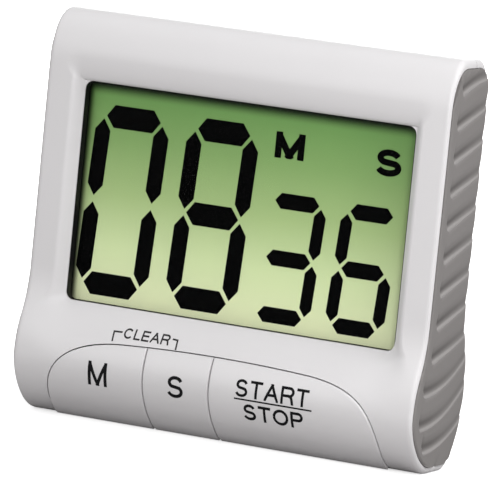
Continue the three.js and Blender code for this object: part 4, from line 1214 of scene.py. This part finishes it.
def metal_finish(name, colour, roughness, stretch=(400, 400, 4000)):
    """Plated or drawn metal: fine marks along one direction and a gloss that drifts a little."""
    finish, tree = new_finish(name)
    shader = tree.nodes["Principled BSDF"]
    shader.inputs["Metallic"].default_value = 1
    place = add_node(tree, "TexCoord")
    scale = add_node(tree, "Mapping", {"Scale": stretch})
    marks = add_node(tree, "TexNoise", {"Scale": 1, "Detail": 3})
    gloss = add_node(tree, "MapRange", {"To Min": roughness - 0.07, "To Max": roughness + 0.07})
    darker = (*(c * 0.93 for c in colour), 1)
    paler = (*(min(1, c * 1.05) for c in colour), 1)
    tint = add_node(tree, "Mix", {"A": darker, "B": paler}, data_type="RGBA")
    wire(
        tree,
        (place, "Object", scale, "Vector"),
        (scale, 0, marks, "Vector"),
        (marks, "Fac", gloss, "Value"),
        (marks, "Fac", tint, "Factor"),
        (gloss, "Result", shader, "Roughness"),
        (tint, "Result", shader, "Base Color"),
    )
    return finish


screw_seat = 5.2
cross_floor = 6.1
thread_pitch = 0.9
thread_root = 0.78
thread_height = 0.32


def thread_radius(height):
    """Radius of the thread by the share of a turn, at a height along the screw."""
    def radius(turn):
        phase = (height / thread_pitch - turn) % 1
        return thread_root + thread_height * max(0, 1 - abs(phase - 0.5) / 0.32)
    return radius


screw_steel = metal_finish("screw_steel", (0.62, 0.63, 0.64), 0.32)
screw_profile = [(0, -8), (0.5, -8), (0.75, -7.6)]
screw_profile += [(thread_radius(k * 0.15), -7.5 + k * 0.15) for k in range(46)]
screw_profile += [(0.8, -0.5), (0.95, 0), (2.1, 0), (2.3, 0.12), (2.3, 0.7), (2.2, 1.05)]
screw_profile += [(1.95, 1.32), (1.6, 1.48), (1.1, 1.57), (0, 1.6)]
for number, (x, z) in enumerate(screw_places, 1):
    case_screw = turned(f"pan_screw_{number}", screw_profile, (x, screw_seat, z), "y")
    for wide, high in ((0.24, 1.25), (1.25, 0.24)):
        cut(case_screw, oblong(x - wide, x + wide, z - high, z + high), "y", cross_floor, 8)
    finish_piece(case_screw, screw_steel, "casing", [f"case_screw_{number}"])

# Battery: one AAA cell, lying in the heel. A printed sleeve wraps the steel can and curls over both of
# its ends. The band near the positive nub is lighter.
cell_profile = [(0, 44.5), (2.6, 44.5), (2.9, 44.3), (4.2, 44.3), (4.5, 44.5), (4.95, 44.42)]
cell_profile += [(5.2, 44.15), (5.25, 43.8), (5.25, 1.4), (5.2, 1.05), (4.95, 0.85), (4.5, 0.8)]
cell_profile += [(4.2, 1.0), (2.1, 1.0), (1.9, 0.85), (1.9, 0.15), (1.75, 0), (0, 0)]
cell_foot, cell_depth, cell_height, cell_length = -24.7, 5.65, 13, 44.5
cell = turned("cell", cell_profile, (cell_foot, cell_depth, cell_height), "x", 64)
cell_coat, tree = new_finish("cell_coat")
shader = tree.nodes["Principled BSDF"]
place = add_node(tree, "TexCoord")
axis_place = (0, -cell_depth / 1000, -cell_height / 1000)
centred = add_node(tree, "Mapping", {"Location": axis_place, "Scale": (0, 1, 1)})
away = add_node(tree, "VectorMath", operation="LENGTH")
bare = add_node(tree, "Math", {1: 0.00435}, operation="LESS_THAN")
along = add_node(tree, "SeparateXYZ")
band = add_node(tree, "ValToRGB")
band.color_ramp.interpolation = "CONSTANT"
band.color_ramp.elements[0].color = (0.5, 0.42, 0.22, 1)
band.color_ramp.elements[1].position = 0.3
band.color_ramp.elements[1].color = (0.045, 0.09, 0.2, 1)
cell_ends = {"From Min": cell_foot / 1000, "From Max": (cell_foot + cell_length) / 1000}
reach = add_node(tree, "MapRange", cell_ends)
wear = add_node(tree, "TexNoise", {"Scale": 700})
gloss = add_node(tree, "MapRange", {"To Min": 0.26, "To Max": 0.4})
sleeve_or_can = add_node(tree, "Mix", {"B": (0.6, 0.6, 0.61, 1)}, data_type="RGBA")
wire(
    tree,
    (place, "Object", centred, "Vector"),
    (centred, 0, away, 0),
    (away, "Value", bare, 0),
    (place, "Object", along, 0),
    (along, "X", reach, "Value"),
    (reach, "Result", band, 0),
    (place, "Object", wear, "Vector"),
    (wear, "Fac", gloss, "Value"),
    (bare, 0, sleeve_or_can, "Factor"),
    (band, 0, sleeve_or_can, "A"),
    (sleeve_or_can, "Result", shader, "Base Color"),
    (bare, 0, shader, "Metallic"),
    (gloss, "Result", shader, "Roughness"),
)
finish_piece(cell, cell_coat, "casing", ["battery"])

# Inner pieces: the board with its sealed chip, crystal and screws, the contacts of the cell, the
# buzzer with its leads, and the rubber parts under the keys and the display. They keep their forms.
contact_steel = metal_finish("contact_steel", (0.62, 0.62, 0.62), 0.3, (4000, 400, 400))
dress(contact_steel, "battery_contact", "battery_spring", "crystal", "board_screw_1", "board_screw_2")
dress(metal_finish("buzzer_brass", (0.62, 0.46, 0.19), 0.35), "buzzer_disc")
dress(moulded_finish("black_resin", (0.015, 0.015, 0.015), 0.3, 900, 0.00005), "chip_cap")
dress(moulded_finish("red_insulation", (0.45, 0.03, 0.02), 0.45, 1500, 0.00001), "buzzer_lead_red")
dress(moulded_finish("black_insulation", (0.02, 0.02, 0.02), 0.45, 1500, 0.00001), "buzzer_lead_black")
silicone = moulded_finish("silicone", (0.33, 0.34, 0.35), 0.65, 1200)
dress(silicone, "connector_strip")
dress(silicone, "contact_pad_minutes", "contact_pad_seconds", "contact_pad_start_stop")

# printed board: green lacquer over narrow copper tracks, which show as lighter lines
board_green, tree = new_finish("board_green")
shader = tree.nodes["Principled BSDF"]
place = add_node(tree, "TexCoord")
upright = add_node(tree, "Mapping", {"Rotation": (math.pi / 2, 0, 0)})
tracks = add_node(tree, "TexBrick", {
    "Scale": 160,
    "Mortar Size": 0.06,
    "Color1": (0.02, 0.12, 0.04, 1),
    "Color2": (0.025, 0.14, 0.05, 1),
    "Mortar": (0.05, 0.24, 0.08, 1),
})
cloud = add_node(tree, "TexNoise", {"Scale": 300})
gloss = add_node(tree, "MapRange", {"To Min": 0.3, "To Max": 0.45})
wire(
    tree,
    (place, "Object", upright, "Vector"),
    (upright, 0, tracks, "Vector"),
    (place, "Object", cloud, "Vector"),
    (cloud, "Fac", gloss, "Value"),
    (tracks, "Color", shader, "Base Color"),
    (gloss, "Result", shader, "Roughness"),
)
dress(board_green, "circuit_board")
